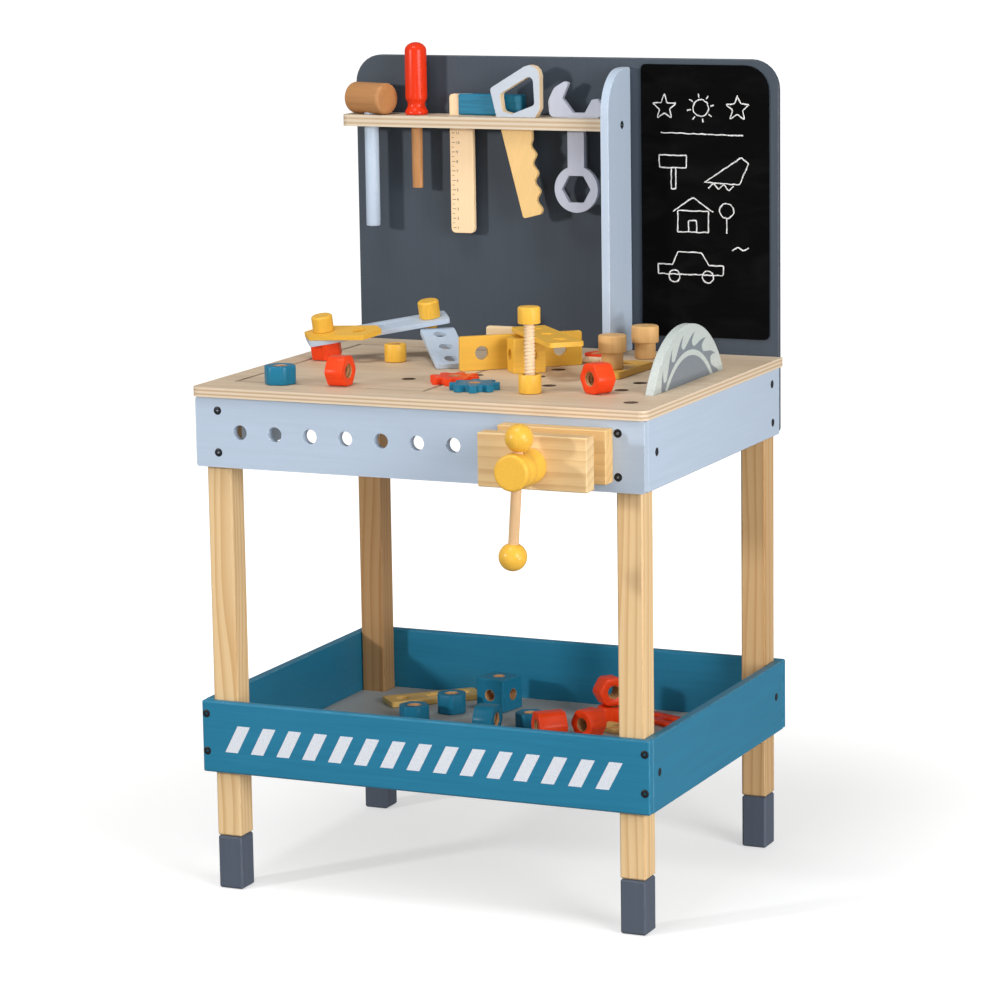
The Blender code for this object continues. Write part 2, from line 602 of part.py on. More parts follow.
def build_bridge():
    """Two planks bolted over a nut, sloping up to a second bolt, with a third plank leaning as a ramp."""
    foot = Vector((-0.199, 0.211, TOP_Z + 0.0032))
    run = Vector((0.092, 0.062, 0.015))
    along = run.normalized()
    normal = Vector((0, -math.sin(math.radians(8)), math.cos(math.radians(8))))
    normal = (normal - along * normal.dot(along)).normalized()
    across = normal.cross(along)
    turn = Matrix((along, across, normal)).transposed().to_euler()
    frame = empty("bridge_frame", foot, bench, turn)
    span = run.length
    z_blue = NUT_H + GAP + PLANK_T / 2
    z_yellow = z_blue + PLANK_T + GAP
    hex_nut("nut_red_bridge", "red", (0, 0, NUT_H / 2), parent=frame, spin=15)
    plate("plank_blue_long", plank_loops(span + 0.036, (-span / 2, 0, span / 2)), PLANK_T, "pale_blue",
          (span / 2, 0, z_blue), parent=frame)
    lean = -math.atan2(run.y, run.x)
    short = 0.086
    offset = Vector((short / 2 - 0.021, 0))
    offset.rotate(Matrix.Rotation(lean, 2))
    loops = plank_loops(short, (0.021 - short / 2, short / 2 - 0.024), True)
    plate("plank_yellow_short", loops, PLANK_T, "yellow", (offset.x, offset.y, z_yellow), (0, 0, lean),
          frame)
    top_left = z_yellow + PLANK_T / 2 + GAP
    bolt("bolt_bridge_left", "yellow", (0, 0, top_left), 0.026, parent=frame)
    top_right = z_blue + PLANK_T / 2 + GAP
    bolt("bolt_bridge_right", "yellow", (span, 0, top_right), 0.012, head_h=0.018, parent=frame)

    high, low = Vector((-0.0969, 0.2617, 0.5440)), Vector((-0.0450, 0.1900, TOP_Z + 0.0029))
    slope = (low - high).normalized()
    side = Vector((0, 0, 1)).cross(slope).normalized()
    turn = Matrix((slope, side, slope.cross(side))).transposed().to_euler()
    length = (low - high).length
    plate("plank_blue_ramp", plank_loops(length, (-length / 2 + 0.016, 0.002, length / 2 - 0.014)), PLANK_T,
          "pale_blue", (high + low) / 2, turn)


def build_yellow_planks():
    """A plank on edge, an angle bracket beside it and a plank lying across both."""
    start, end = Vector((-0.032, 0.176)), Vector((0.067, 0.258))
    length = (end - start).length
    heading = math.atan2(end.y - start.y, end.x - start.x)
    middle = (start + end) / 2
    height = PLANK_W - 0.001
    loops = [rounded(rectangle(-length / 2, length / 2, -height / 2, height / 2), 0.002, 2),
             *[circle(x, 0, PEG_HOLE_R) for x in (-length / 2 + 0.023, 0, length / 2 - 0.023)]]
    mid_z = TOP_Z + GAP + height / 2
    plate("plank_yellow_long", loops, PLANK_T, "yellow", (middle.x, middle.y, mid_z),
          (math.pi / 2, 0, heading))

    leg, t = 0.033, PLANK_T
    outline = [(0, 0), (leg, 0), (leg, t), (t, t), (t, leg - 0.008), (0, leg - 0.008)]
    corner = Vector((0.0285, 0.1755))
    outline = rounded(outline, [0.001, 0.0005, 0.0005, 0, 0.0005, 0.0005], 2)
    bracket = plate("bracket_yellow", [outline], height, "yellow", (corner.x, corner.y, mid_z),
                    (0, 0, heading))
    turn_a, turn_b = (math.pi / 2, 0, heading), (math.pi / 2, 0, heading + math.pi / 2)
    ahead = Vector((math.cos(heading), math.sin(heading)))
    left = Vector((-math.sin(heading), math.cos(heading)))
    for name, way, turn in (("bracket_hole_front", ahead * 0.019, turn_a),
                            ("bracket_hole_side", left * 0.015, turn_b)):
        at = corner + way
        hole = add_piece(name, rod_mesh(name, 0.006, 0.03, 20), "yellow", (at.x, at.y, mid_z), turn)
        cut(bracket, hole)

    top_z = TOP_Z + GAP + height + GAP + PLANK_T / 2
    plate("plank_yellow_top", plank_loops(0.130, (-0.042, 0, 0.042)), PLANK_T, "yellow",
          (0.0600, 0.1870, top_z), (0, 0, math.radians(-49)))


def build_bolts_and_nuts():
    floor = TOP_Z + GAP
    hex_nut("nut_teal_table", "teal", (-0.1665, 0.043, floor + 0.0185 / 2), height=0.0185, spin=10)
    on_edge = floor + NUT_AF / 2
    hex_nut("nut_red_table_left", "red", (-0.1035, 0.050, on_edge), facing=0, height=0.0195)
    hex_nut("nut_red_table_right", "red", (0.1575, 0.085, on_edge), facing=238, height=0.0205)
    round_nut("nut_yellow_table", "yellow", (-0.124, 0.218, floor))

    x, y = 0.094, 0.066
    round_nut("nut_yellow_tall", "yellow", (x, y, floor))
    bolt("bolt_yellow_tall", "yellow", (x, y, floor + 0.068), 0.066)

    for name, colour, at, spin in (("gear_red", "red", (-0.004, 0.104), 8),
                                   ("gear_teal", "teal", (0.034, 0.068), 20)):
        plate(name, gear_loops(), 0.007, colour, (*at, floor + 0.0035), (0, 0, math.radians(spin)))

    length, thick = 0.084, 0.007
    plate("plank_ochre", plank_loops(length, (-0.021, 0.021)), thick, "tan",
          (0.127, 0.216, floor + thick / 2), (0, 0, math.radians(88)))
    peg_z = floor + thick + GAP
    shank_r, head_r, shank_h, head_h, ease = 0.0110, 0.0142, 0.0165, 0.0175, 0.0015
    profile = [(0, shank_h + head_h), (head_r - ease, shank_h + head_h), (head_r, shank_h + head_h - ease),
               (head_r, shank_h + 0.001), (head_r - 0.001, shank_h), (shank_r, shank_h), (shank_r, 0), (0, 0)]
    turned("peg_natural", profile, "tan", (0.127, 0.196, peg_z))


def gear_loops(teeth=8, tip=0.0250, root=0.0175, bore=0.006):
    """A flat toy gear: teeth with straight flanks and rounded tips."""
    corners, radii = [], []
    pitch = 2 * math.pi / teeth
    for i in range(teeth):
        for share, reach, ease in ((-0.32, root, 0.0015), (-0.19, tip, 0.0015), (0.19, tip, 0.0015),
                                   (0.32, root, 0.0015)):
            angle = (i + share) * pitch
            corners.append((reach * math.cos(angle), reach * math.sin(angle)))
            radii.append(ease)
    return [rounded(corners, radii, 2), circle(0, 0, bore)]


def build_tray_parts():
    floor = TRAY_FLOOR_Z[1] + GAP
    side = 0.0355
    half = side / 2
    cube = board("cube_teal", (-half, -half, -half), (half, half, half), "teal", 0.0015)
    cube.location = (-0.0573, 0.3173, floor + side / 2)
    turn = math.radians(79)
    cube.rotation_euler = (0, 0, turn)
    for axis in "XYZ":
        hole = rod(f"cube_bore_{axis}", 0.006, side * 1.5, axis, (0, 0, 0), parent=cube, segments=20)
        cut(cube, hole)


build_table()
build_legs()
build_tray()
build_back()
build_hammer()
build_screwdriver()
build_square()
build_hand_saw()
build_wrench()
build_vise()
build_saw_disc()
build_bridge()
build_yellow_planks()
build_bolts_and_nuts()
build_tray_parts()
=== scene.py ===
"""Toy workbench: camera, light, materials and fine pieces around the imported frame.

Units are metres and +Z is up.  Places come from the frame's own boxes.
"""
import random
from math import cos, hypot, pi, radians, sin

import bmesh
import bpy
from mathutils import Matrix, Vector


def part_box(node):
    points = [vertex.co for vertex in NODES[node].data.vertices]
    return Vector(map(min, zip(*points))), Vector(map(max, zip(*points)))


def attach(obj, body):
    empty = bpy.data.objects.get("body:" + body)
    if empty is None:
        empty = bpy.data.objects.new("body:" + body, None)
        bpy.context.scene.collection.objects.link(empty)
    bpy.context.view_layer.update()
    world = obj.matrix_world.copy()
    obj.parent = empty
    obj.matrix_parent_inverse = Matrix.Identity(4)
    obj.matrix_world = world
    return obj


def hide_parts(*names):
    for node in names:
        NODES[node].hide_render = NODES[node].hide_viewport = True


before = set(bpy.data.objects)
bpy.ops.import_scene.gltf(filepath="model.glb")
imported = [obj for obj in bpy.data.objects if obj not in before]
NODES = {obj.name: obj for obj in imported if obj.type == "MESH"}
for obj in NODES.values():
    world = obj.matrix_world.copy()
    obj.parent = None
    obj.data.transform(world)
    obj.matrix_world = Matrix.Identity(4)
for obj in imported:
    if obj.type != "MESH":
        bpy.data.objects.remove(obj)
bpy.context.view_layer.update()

CAMERA_PLACE = (1.5416, -3.35115, 1.0662)
CAMERA_TURN = (24.2963, -10.3523, -0.8654)      # yaw, pitch and roll in degrees
LENS, SENSOR = 134.59, 36                       # millimetres
AMBIENT = 0.30               # strength of the surround as light; the camera sees it white
FLOOR_GLOW_AND_SHADOW = (0.50, 0.88)    # glow of the floor under the bench and far from it, where no lamp reaches; the lower glow under the bench paints a soft shadow there
LAMPS = (                    # name, place, width, watts
    ("key", (-1.9, -2.5, 1.25), 0.30, 42),
    ("fill", (2.7, -1.5, 1.3), 1.6, 64),
    ("side", (2.1, -0.6, 0.20), 0.35, 13),
    ("low", (0.6, -3.0, 0.20), 0.35, 6),
    ("top", (-0.2, -0.9, 3.0), 1.2, 30),
)


def added(name, data):
    """A new object in the scene."""
    thing = bpy.data.objects.new(name, data)
    bpy.context.scene.collection.objects.link(thing)
    return thing


def to_mesh(shape, name="shape"):
    """A bmesh as a mesh; the bmesh is let go."""
    mesh = bpy.data.meshes.new(name)
    shape.to_mesh(mesh)
    shape.free()
    return mesh


def settled(holder, *others):
    """An object's mesh with its curve or its modifiers applied; the object and its helpers are removed."""
    bpy.context.view_layer.update()
    mesh = bpy.data.meshes.new_from_object(holder.evaluated_get(bpy.context.evaluated_depsgraph_get()))
    for extra in (holder, *others):
        bpy.data.objects.remove(extra, do_unlink=True)
    return mesh


# ---------------------------------------------------------------- camera, floor, light
def build_camera():
    """The photograph's view: a long lens, a little above the table, from the front right."""
    yaw, pitch, roll = (radians(a) for a in CAMERA_TURN)
    ahead = Vector((-sin(yaw) * cos(pitch), cos(yaw) * cos(pitch), sin(pitch)))
    right = Vector((cos(yaw), sin(yaw), 0))
    up = right.cross(ahead)
    right, up = right * cos(roll) + up * sin(roll), up * cos(roll) - right * sin(roll)
    data = bpy.data.cameras.new("camera")
    data.lens = LENS
    data.sensor_width = SENSOR
    data.dof.use_dof = False
    camera = added("camera", data)
    turn = Matrix((right, up, -ahead)).transposed().to_4x4()
    camera.matrix_world = Matrix.Translation(CAMERA_PLACE) @ turn
    bpy.context.scene.camera = camera


def build_stage():
    """A white floor, a white surround and soft studio lamps."""
    shape = bmesh.new()
    bmesh.ops.create_grid(shape, x_segments=2, y_segments=2, size=20.0)
    floor = added("floor", to_mesh(shape, "floor"))
    floor.location.z = -0.0005
    g = Graph("floor_paint", 0.9, gloss=0.0)
    g.feed(g.shader.inputs["Emission Color"], (1, 1, 1))
    # the floor glows less near the bench than far from it: a painted soft shadow under the bench, and an even
    # white far away
    g.feed(g.shader.inputs["Emission Strength"], g.step(g.vector("LENGTH", g.place), 0.8, 0.5, FLOOR_GLOW_AND_SHADOW))
    floor.data.materials.append(g.finish((0.62, 0.62, 0.62)))
    floor.visible_diffuse = False
    floor.visible_glossy = False

    world = bpy.data.worlds.new("studio")
    bpy.context.scene.world = world
    world.use_nodes = True
    nodes, links = world.node_tree.nodes, world.node_tree.links
    lit = nodes["Background"]
    lit.inputs["Color"].default_value = (1.0, 0.985, 0.965, 1)
    lit.inputs["Strength"].default_value = AMBIENT
    seen = nodes.new("ShaderNodeBackground")
    seen.inputs["Color"].default_value = (1, 1, 1, 1)
    choice = nodes.new("ShaderNodeMixShader")
    links.new(nodes.new("ShaderNodeLightPath").outputs["Is Camera Ray"], choice.inputs["Fac"])
    links.new(lit.outputs["Background"], choice.inputs[1])
    links.new(seen.outputs["Background"], choice.inputs[2])
    links.new(choice.outputs["Shader"], nodes["World Output"].inputs["Surface"])

    target = Vector((0, 0, 0.45))
    for name, place, size, power in LAMPS:
        lamp = bpy.data.lights.new(name, "AREA")
        lamp.shape = "DISK"
        lamp.size = size
        lamp.energy = power
        holder = added(name, lamp)
        holder.location = place
        holder.rotation_euler = (Vector(place) - target).to_track_quat("Z", "Y").to_euler()


# ---------------------------------------------------------------- shader building
class Graph:
    """A material's nodes, with short calls for the ones used here."""

    def __init__(self, name, roughness=0.5, gloss=0.25):
        self.material = bpy.data.materials.new(name)
        self.material.use_nodes = True
        self.nodes = self.material.node_tree.nodes
        self.links = self.material.node_tree.links
        self.shader = self.nodes["Principled BSDF"]
        self.shader.inputs["Roughness"].default_value = roughness
        self.shader.inputs["Specular IOR Level"].default_value = gloss
        self.place = self.nodes.new("ShaderNodeTexCoord").outputs["Object"]

    def feed(self, socket, value):
        """Link or set a socket; a colour may come without its alpha."""
        if isinstance(value, bpy.types.NodeSocket):
            self.links.new(value, socket)
        elif isinstance(value, (tuple, list, Vector)) and len(socket.default_value) == 4 and len(value) == 3:
            socket.default_value = (*value, 1)
        else:
            socket.default_value = value

    def math(self, operation, a, b=0.0, c=0.0, clamp=False):
        node = self.nodes.new("ShaderNodeMath")
        node.operation = operation
        node.use_clamp = clamp
        for socket, value in zip(node.inputs, (a, b, c)):
            self.feed(socket, value)
        return node.outputs[0]

    def times(self, a, b):
        return self.math("MULTIPLY", a, b)

    def plus(self, a, b):
        return self.math("ADD", a, b)

    def minus(self, a, b):
        return self.math("SUBTRACT", a, b)

    def ratio(self, a, b):
        return self.math("DIVIDE", a, b)

    def below(self, value, edge, soft):
        """1 below the edge, 0 above it."""
        return self.flip(self.step(value, edge, soft))

    def flip(self, a):
        """1 - a."""
        return self.math("SUBTRACT", 1.0, a)

    def reach(self, a, b):
        """Length of the vector (a, b)."""
        return self.math("SQRT", self.plus(self.times(a, a), self.times(b, b)))

    def stretch(self, vector, scales):
        return self.vector("MULTIPLY", vector, scales)

    def vector(self, operation, a, b=(0, 0, 0)):
        node = self.nodes.new("ShaderNodeVectorMath")
        node.operation = operation
        self.feed(node.inputs[0], a)
        if operation == "SCALE":
            self.feed(node.inputs["Scale"], b)
        elif operation != "LENGTH":
            self.feed(node.inputs[1], b)
        return node.outputs["Value" if operation in ("LENGTH", "DOT_PRODUCT") else 0]

    def split(self, vector):
        node = self.nodes.new("ShaderNodeSeparateXYZ")
        self.feed(node.inputs[0], vector)
        return node.outputs

    def join(self, x, y, z):
        node = self.nodes.new("ShaderNodeCombineXYZ")
        for socket, value in zip(node.inputs, (x, y, z)):
            self.feed(socket, value)
        return node.outputs[0]

    def noise(self, vector, scale=1.0, detail=3.0, roughness=0.5, distortion=0.0):
        node = self.nodes.new("ShaderNodeTexNoise")
        self.feed(node.inputs["Vector"], vector)
        for name, value in (("Scale", scale), ("Detail", detail), ("Roughness", roughness),
                            ("Distortion", distortion)):
            node.inputs[name].default_value = value
        return node.outputs["Fac"]

    def streaks(self, line, across, lengthwise, *look):
        """Noise drawn out along Z."""
        return self.noise(self.stretch(line, (across, across, lengthwise)), 1.0, *look)

    def ramp(self, value, stops):
        """A colour ramp; a stop may be a grey given as one number."""
        node = self.nodes.new("ShaderNodeValToRGB")
        ramp = node.color_ramp
        while len(ramp.elements) < len(stops):
            ramp.elements.new(0.5)
        for element, (place, colour) in zip(ramp.elements, stops):
            element.position = place
            element.color = (*((colour,) * 3 if isinstance(colour, (int, float)) else colour), 1)
        self.feed(node.inputs[0], value)
        return node.outputs["Color"]

    def mix(self, share, a, b):
        node = self.nodes.new("ShaderNodeMix")
        node.data_type = "RGBA"
        self.feed(node.inputs["Factor"], share)
        self.feed(node.inputs[6], a)
        self.feed(node.inputs[7], b)
        return node.outputs[2]

    def step(self, value, edge, soft, span=(0.0, 1.0)):
        """The first of span below the edge, the second above it."""
        node = self.nodes.new("ShaderNodeMapRange")
        node.interpolation_type = "SMOOTHSTEP"
        self.feed(node.inputs["Value"], value)
        limits = (edge - soft, edge + soft, *span)
        for socket, number in zip(("From Min", "From Max", "To Min", "To Max"), limits):
            node.inputs[socket].default_value = number
        return node.outputs["Result"]

    def band(self, value, low, high, soft):
        """1 between two values."""
        return self.times(self.step(value, low, soft), self.below(value, high, soft))

    def blot(self, base, mask, edge, soft, share, tint):
        """The base, tinted by a share where the mask is past its edge."""
        return self.mix(self.times(self.step(mask, edge, soft), share), base, tint)

    def streaky(self, streaks, tint, show, low=0.30, high=0.70):
        """A tint that gets lighter and darker along streaks."""
        return self.ramp(streaks, [(low, dim(tint, 1 - show)), (high, dim(tint, 1 + show))])

    def finish(self, colour, height=None, strength=0.1, distance=0.0003, rough=None):
        """The finished material; rough is (noise, swing, base) for an uneven roughness."""
        self.feed(self.shader.inputs["Base Color"], colour)
        if rough is not None:
            self.feed(self.shader.inputs["Roughness"], self.math("MULTIPLY_ADD", *rough))
        if height is not None:
            node = self.nodes.new("ShaderNodeBump")
            node.inputs["Strength"].default_value = strength
            node.inputs["Distance"].default_value = distance
            self.feed(node.inputs["Height"], height)
            self.links.new(node.outputs["Normal"], self.shader.inputs["Normal"])
        return self.material


def dim(tint, share):
    """A lighter or darker tint."""
    return tuple(min(1.0, c * share) for c in tint)


def along(g, grain, heart=(0, 0, 0)):
    """Coordinates whose Z runs along the grain, with the tree's heart at a point."""
    grain = Vector(grain).normalized()
    side = grain.orthogonal().normalized()
    other = grain.cross(side)
    moved = g.vector("SUBTRACT", g.place, tuple(heart))
    return g.join(*(g.vector("DOT_PRODUCT", moved, tuple(axis)) for axis in (side, other, grain)))


def fibre(g, line, across=900.0, stretch=0.035):
    """Fine fibres along the grain."""
    return g.streaks(line, across, across * stretch, 4.0, 0.6)


def pine(name, grain, heart, light=(0.82, 0.60, 0.36), dark=(0.60, 0.34, 0.14), ring=0.0045, strength=0.75):
    """Planed pine: growth rings about a distant heart, and fine fibres."""
    g = Graph(name, 0.42)
    line = along(g, grain, heart)
    wobble = g.streaks(line, 9.0, 2.2, 2.0, 0.5)
    shifted = g.vector("ADD", line, g.vector("SCALE", g.join(wobble, wobble, 0.0), 0.020))
    x, y, _ = g.split(shifted)
    out = g.reach(x, y)
    uneven = g.noise(g.join(g.times(out, 160.0), 0.0, 0.0), 1.0, 1.0)
    growth = g.math("FRACT", g.plus(g.ratio(out, ring), g.times(uneven, 1.1)))
    rings = g.ramp(growth, [(0.0, 0.0), (0.45, 0.10), (0.80, 0.75), (0.90, 1.0), (0.97, 0.45), (1.0, 0.0)])
    threads = fibre(g, line)
    broad = g.streaks(line, 30.0, 3.0, 2.0)
    body = g.mix(rings, light, tuple(a * (1 - strength) + b * strength for a, b in zip(light, dark)))
    body = g.blot(body, threads, 0.60, 0.16, 0.16, dark)
    body = g.blot(body, broad, 0.55, 0.25, 0.22, dim(light, 0.90))
    height = g.math("MULTIPLY_ADD", threads, 0.6, g.times(growth, -0.25))
    return g.finish(body, height, 0.18, 0.0004, (threads, 0.12, 0.36))


def facing(g, axis):
    """How far a face looks along an axis, from -1 to 1."""
    return g.split(g.nodes.new("ShaderNodeNewGeometry").outputs["True Normal"])[axis]


def lean_along(g, axis):
    """1 on faces that look along an axis, 0 on those beside it."""
    return g.math("ABSOLUTE", facing(g, axis))


def recess_shade(g, frame_line, holes, radius):
    """Mask for painted shade: 1 along the milled frame line of a top face and inside its round holes."""
    x, y, _ = g.split(g.place)
    centre_x, centre_y, half_x, half_y = frame_line
    beside = [g.minus(g.math("ABSOLUTE", g.minus(value, centre)), half)
              for value, centre, half in ((x, centre_x, half_x), (y, centre_y, half_y))]
    away = g.math("ABSOLUTE", g.math("MAXIMUM", *beside))
    found = g.times(g.step(facing(g, 2), 0.5, 0.02), g.below(away, 0.0019, 0.0005))
    for hole_x, hole_y in holes:
        out = g.reach(g.minus(x, hole_x), g.minus(y, hole_y))
        found = g.math("MAXIMUM", found, g.below(out, radius + 0.0004, 0.0002))
    return found


def birch(name, grain, light=(0.86, 0.70, 0.50), dark=(0.62, 0.42, 0.24), depth=0.30, plies=None, holes=(),
          frame_line=None):
    """Birch veneer with short flecks.

    plies gives (lower face, upper face, count, axis) for the layers that show at the edges.
    """
    g = Graph(name, 0.5)
    line = along(g, grain)
    broad = g.streaks(line, 26.0, 1.6, 3.0, 0.55)
    bands = g.streaks(line, 150.0, 4.5, 3.0, 0.6, 0.4)
    threads = fibre(g, line, 1100.0, 0.03)
    flecks = g.streaks(line, 1900.0, 170.0, 1.0)
    body = g.blot(light, broad, 0.5, 0.22, depth, dark)
    body = g.blot(body, bands, 0.56, 0.14, depth * 0.9, dark)
    body = g.blot(body, threads, 0.62, 0.12, depth * 0.55, dark)
    body = g.blot(body, flecks, 0.72, 0.05, 0.35, dim(dark, 0.75))
    if plies:
        low, high, count, axis = plies
        layer = g.times(g.ratio(g.minus(g.split(g.place)[axis], low), high - low), count)
        end_grain = g.band(g.math("FRACT", g.times(layer, 0.5)), 0.56, 0.92, 0.03)
        glue = g.math("ABSOLUTE", g.minus(g.math("FRACT", layer), 0.5))
        speckle = g.noise(g.place, 2600.0, 2.0)
        layer_tone = g.mix(g.step(speckle, 0.5, 0.2), (0.40, 0.26, 0.14), (0.56, 0.39, 0.23))
        side = g.mix(g.times(end_grain, 0.80), dim(light, 1.02), layer_tone)
        side = g.blot(side, glue, 0.455, 0.02, 0.45, (0.36, 0.20, 0.09))
        body = g.mix(g.below(lean_along(g, axis), 0.75, 0.1), body, side)
    if holes:
        # painted shade: the milled frame line and the walls of the holes are coloured dark brown where shade
        # falls
        body = g.mix(recess_shade(g, frame_line, holes, 0.0070), body, (0.13, 0.085, 0.055))
    height = g.plus(threads, g.times(bands, 0.5))
    return g.finish(body, height, 0.14, 0.0003, (bands, 0.10, 0.45))


def edge_distance(g, low, high):
    """Distance along a board's face to its nearest edge, from its two corners."""
    near = g.vector("MINIMUM", g.vector("SUBTRACT", g.place, tuple(low)),
                    g.vector("SUBTRACT", tuple(high), g.place))
    x, y, z = g.split(near)
    least, most = (g.math(pick, g.math(pick, x, y), z) for pick in ("MINIMUM", "MAXIMUM"))
    return g.minus(g.minus(g.plus(g.plus(x, y), z), least), most)


def painted(name, tint, grain, roughness, show, corners=None, edge_wear_and_highlight=None, plies=None):
    """Satin paint on wood: a little grain stands through, and the edges of a box get a lighter tint, partly
    paint wear and partly painted highlight.

    plies gives (axis, lower face, upper face, count) for a plate whose cut edges are bare plywood.
    """
    g = Graph(name, roughness)
    streaks = g.streaks(along(g, grain), 260.0, 9.0, 4.0, 0.6)
    cloud = g.noise(g.place, 7.0, 2.0)
    peel = g.noise(g.place, 900.0, 2.0)
    body = g.blot(g.streaky(streaks, tint, show), cloud, 0.5, 0.3, 0.5, dim(tint, 1 - show * 0.8))
    # painted highlight and wear: a ragged band along the box's edges is mixed towards a lighter tint
    if corners:
        rub_and_glint = g.noise(g.place, 55.0, 4.0, 0.65)
        past = g.minus(edge_distance(g, *corners), g.math("MULTIPLY_ADD", rub_and_glint, 0.0022, -0.0002))
        body = g.mix(g.times(g.below(past, 0.0, 0.0005), 0.35), body, edge_wear_and_highlight)
    if plies:
        axis, low, high, count = plies
        share = g.ratio(g.minus(g.split(g.place)[axis], low), high - low)
        layer = g.math("FRACT", g.times(share, count / 2))
        bare = g.mix(g.band(layer, 0.5, 1.0, 0.03), (0.86, 0.70, 0.48), (0.70, 0.50, 0.29))
        body = g.mix(g.step(lean_along(g, axis), 0.72, 0.08), bare, body)
    height = g.math("MULTIPLY_ADD", streaks, 0.35, g.times(peel, 0.35))
    return g.finish(body, height, 0.12, 0.0004, (streaks, 0.16, roughness - 0.08))


def stained(name, tint, grain=(0, 0, 1), bores=(), roughness=0.36, show=0.10):
    """Coloured stain on beech, a little worn, with bare wood in bores given as (point, direction, radius)."""
    g = Graph(name, roughness)
    line = along(g, grain)
    streaks = g.streaks(line, 420.0, 30.0, 4.0, 0.62)
    flecks = g.streaks(line, 1500.0, 260.0, 1.0)
    cloud = g.noise(g.place, 45.0, 2.0)
    body = g.streaky(streaks, tint, show, 0.28, 0.72)
    body = g.blot(body, flecks, 0.66, 0.05, 0.22, dim(tint, 0.72))
    body = g.blot(body, cloud, 0.52, 0.25, 0.30, dim(tint, 0.92))
    for point, way, radius in bores:
        offset = g.vector("SUBTRACT", g.place, tuple(point))
        out = g.vector("LENGTH", g.vector("CROSS_PRODUCT", offset, tuple(Vector(way).normalized())))
        body = g.mix(g.below(out, radius + 0.0002, 0.00012), body, BARE_BORE)
    return g.finish(body, g.plus(streaks, flecks), 0.10, 0.0003, (streaks, 0.18, roughness - 0.08))


def chalk_surface(name):
    """Blackboard coat with faint wiped chalk dust."""
    g = Graph(name, gloss=0.02)
    swipe = g.streaks(g.place, 14.0, 34.0, 5.0, 0.6, 1.2)
    grit = g.noise(g.place, 2400.0, 2.0)
    body = g.blot((0.0025, 0.0025, 0.0027), swipe, 0.60, 0.18, 0.004, (0.75, 0.75, 0.75))
    return g.finish(body, grit, 0.12, 0.0002, (grit, 0.2, 0.60))


def chalk_line(name):
    """Chalk: dry white strokes, broken up by the board's grain."""
    g = Graph(name, 0.95)
    grit = g.noise(g.place, 1500.0, 3.0, 0.7)
    return g.finish(g.ramp(grit, [(0.36, 0.16), (0.54, 0.86)]), grit, 0.5, 0.0003)


def zinc(name):
    """Zinc-plated steel, faintly brushed, with painted shade, near black, at the rim and in the recess of a
    screw head about Z.
    """
    g = Graph(name)
    g.shader.inputs["Metallic"].default_value = 0.35
    scuff = g.noise(g.place, 1800.0, 3.0)
    x, y, z = g.split(g.place)
    # painted shade: near black at the rim of the head and in its cross recess
    painted_shade = g.math("MAXIMUM", g.step(g.reach(x, y), 0.0038, 0.0002), g.below(z, 0.0001, 0.0001))
    metal = g.ramp(scuff, [(0.3, (0.50, 0.52, 0.54)), (0.7, (0.78, 0.80, 0.82))])
    return g.finish(g.mix(painted_shade, metal, (0.02, 0.021, 0.024)), scuff, 0.05, 0.0002, (scuff, 0.25, 0.22))


def board_grey(name):
    """Grey-painted hardboard with a fine mottle."""
    g = Graph(name, 0.55)
    mottle = g.noise(g.place, 320.0, 4.0, 0.6)
    cloud = g.noise(g.place, 9.0, 2.0)
    body = g.ramp(mottle, [(0.3, (0.42, 0.435, 0.43)), (0.7, (0.50, 0.515, 0.505))])
    return g.finish(g.mix(g.times(cloud, 0.25), body, (0.40, 0.415, 0.41)), mottle, 0.12, 0.0004)


def black_ink(name):
    """Flat black print, a little uneven."""
    g = Graph(name, 0.6)
    grit = g.noise(g.place, 2600.0, 2.0)
    return g.finish(g.ramp(grit, [(0.3, 0.02), (0.7, (0.08, 0.07, 0.06))]))


def white_print(name):
    """Screen-printed white over satin paint."""
    g = Graph(name, 0.42)
    grit = g.noise(g.place, 700.0, 3.0)
    white = g.ramp(grit, [(0.25, (0.60, 0.635, 0.70)), (0.6, (0.72, 0.75, 0.81))])
    return g.finish(white, grit, 0.08, 0.0002)


# ---------------------------------------------------------------- colours
BLUE = (0.455, 0.545, 0.665)
TEAL_PAINT = (0.018, 0.185, 0.315)
SLATE = (0.050, 0.065, 0.086)
FOOT_SLATE = (0.085, 0.104, 0.140)
YELLOW = (0.82, 0.465, 0.058)
RED = (0.86, 0.058, 0.008)
TEAL = (0.012, 0.175, 0.300)
PALE_BLUE = (0.49, 0.585, 0.71)
BROWN = (0.47, 0.225, 0.085)
BARE_BORE = (0.55, 0.30, 0.13)
# lighter edge tints of the painted boards: partly paint wear, partly painted highlight where the edges catch
# light
BLUE_WEAR_AND_HIGHLIGHT = (0.62, 0.68, 0.76)
TEAL_WEAR_AND_HIGHLIGHT = (0.16, 0.36, 0.46)
FOOT_WEAR_AND_HIGHLIGHT = (0.20, 0.22, 0.25)
SLOTS = {TEAL: "teal_stain", RED: "red_stain", YELLOW: "yellow_paint"}      # slot names by tint for the nuts; loose_nut looks one up but does not use it

# ---------------------------------------------------------------- sizes
BORE = 0.0070                 # radius of the holes in nuts and planks
BORE_THREAD = 0.0009
NUT_PITCH = 0.0045
SHANK_PITCH = 0.0036
SCREW_LEAD = 0.008            # the vise's screw moves the jaw this far each turn
HANDLE_TILT = 4.0             # degrees
HANDLE_BORE = 0.0056


def dress(node, material, width=0.0006, segments=2):
    """Give a frame node its material and round its cut edges a little, so that they catch light.

    A width of 0 leaves the edges as they are.
    """
    piece = NODES[node]
    piece.data.materials.clear()
    piece.data.materials.append(material)
    if not width:
        return
    weld = piece.modifiers.new("weld", "WELD")
    weld.merge_threshold = 0.00002
    flat = piece.modifiers.new("flat", "DECIMATE")
    flat.decimate_type = "DISSOLVE"
    flat.angle_limit = radians(0.6)
    eased = piece.modifiers.new("eased", "BEVEL")
    eased.width = width
    eased.segments = segments
    eased.limit_method = "ANGLE"
    eased.angle_limit = radians(38)
    eased.harden_normals = True


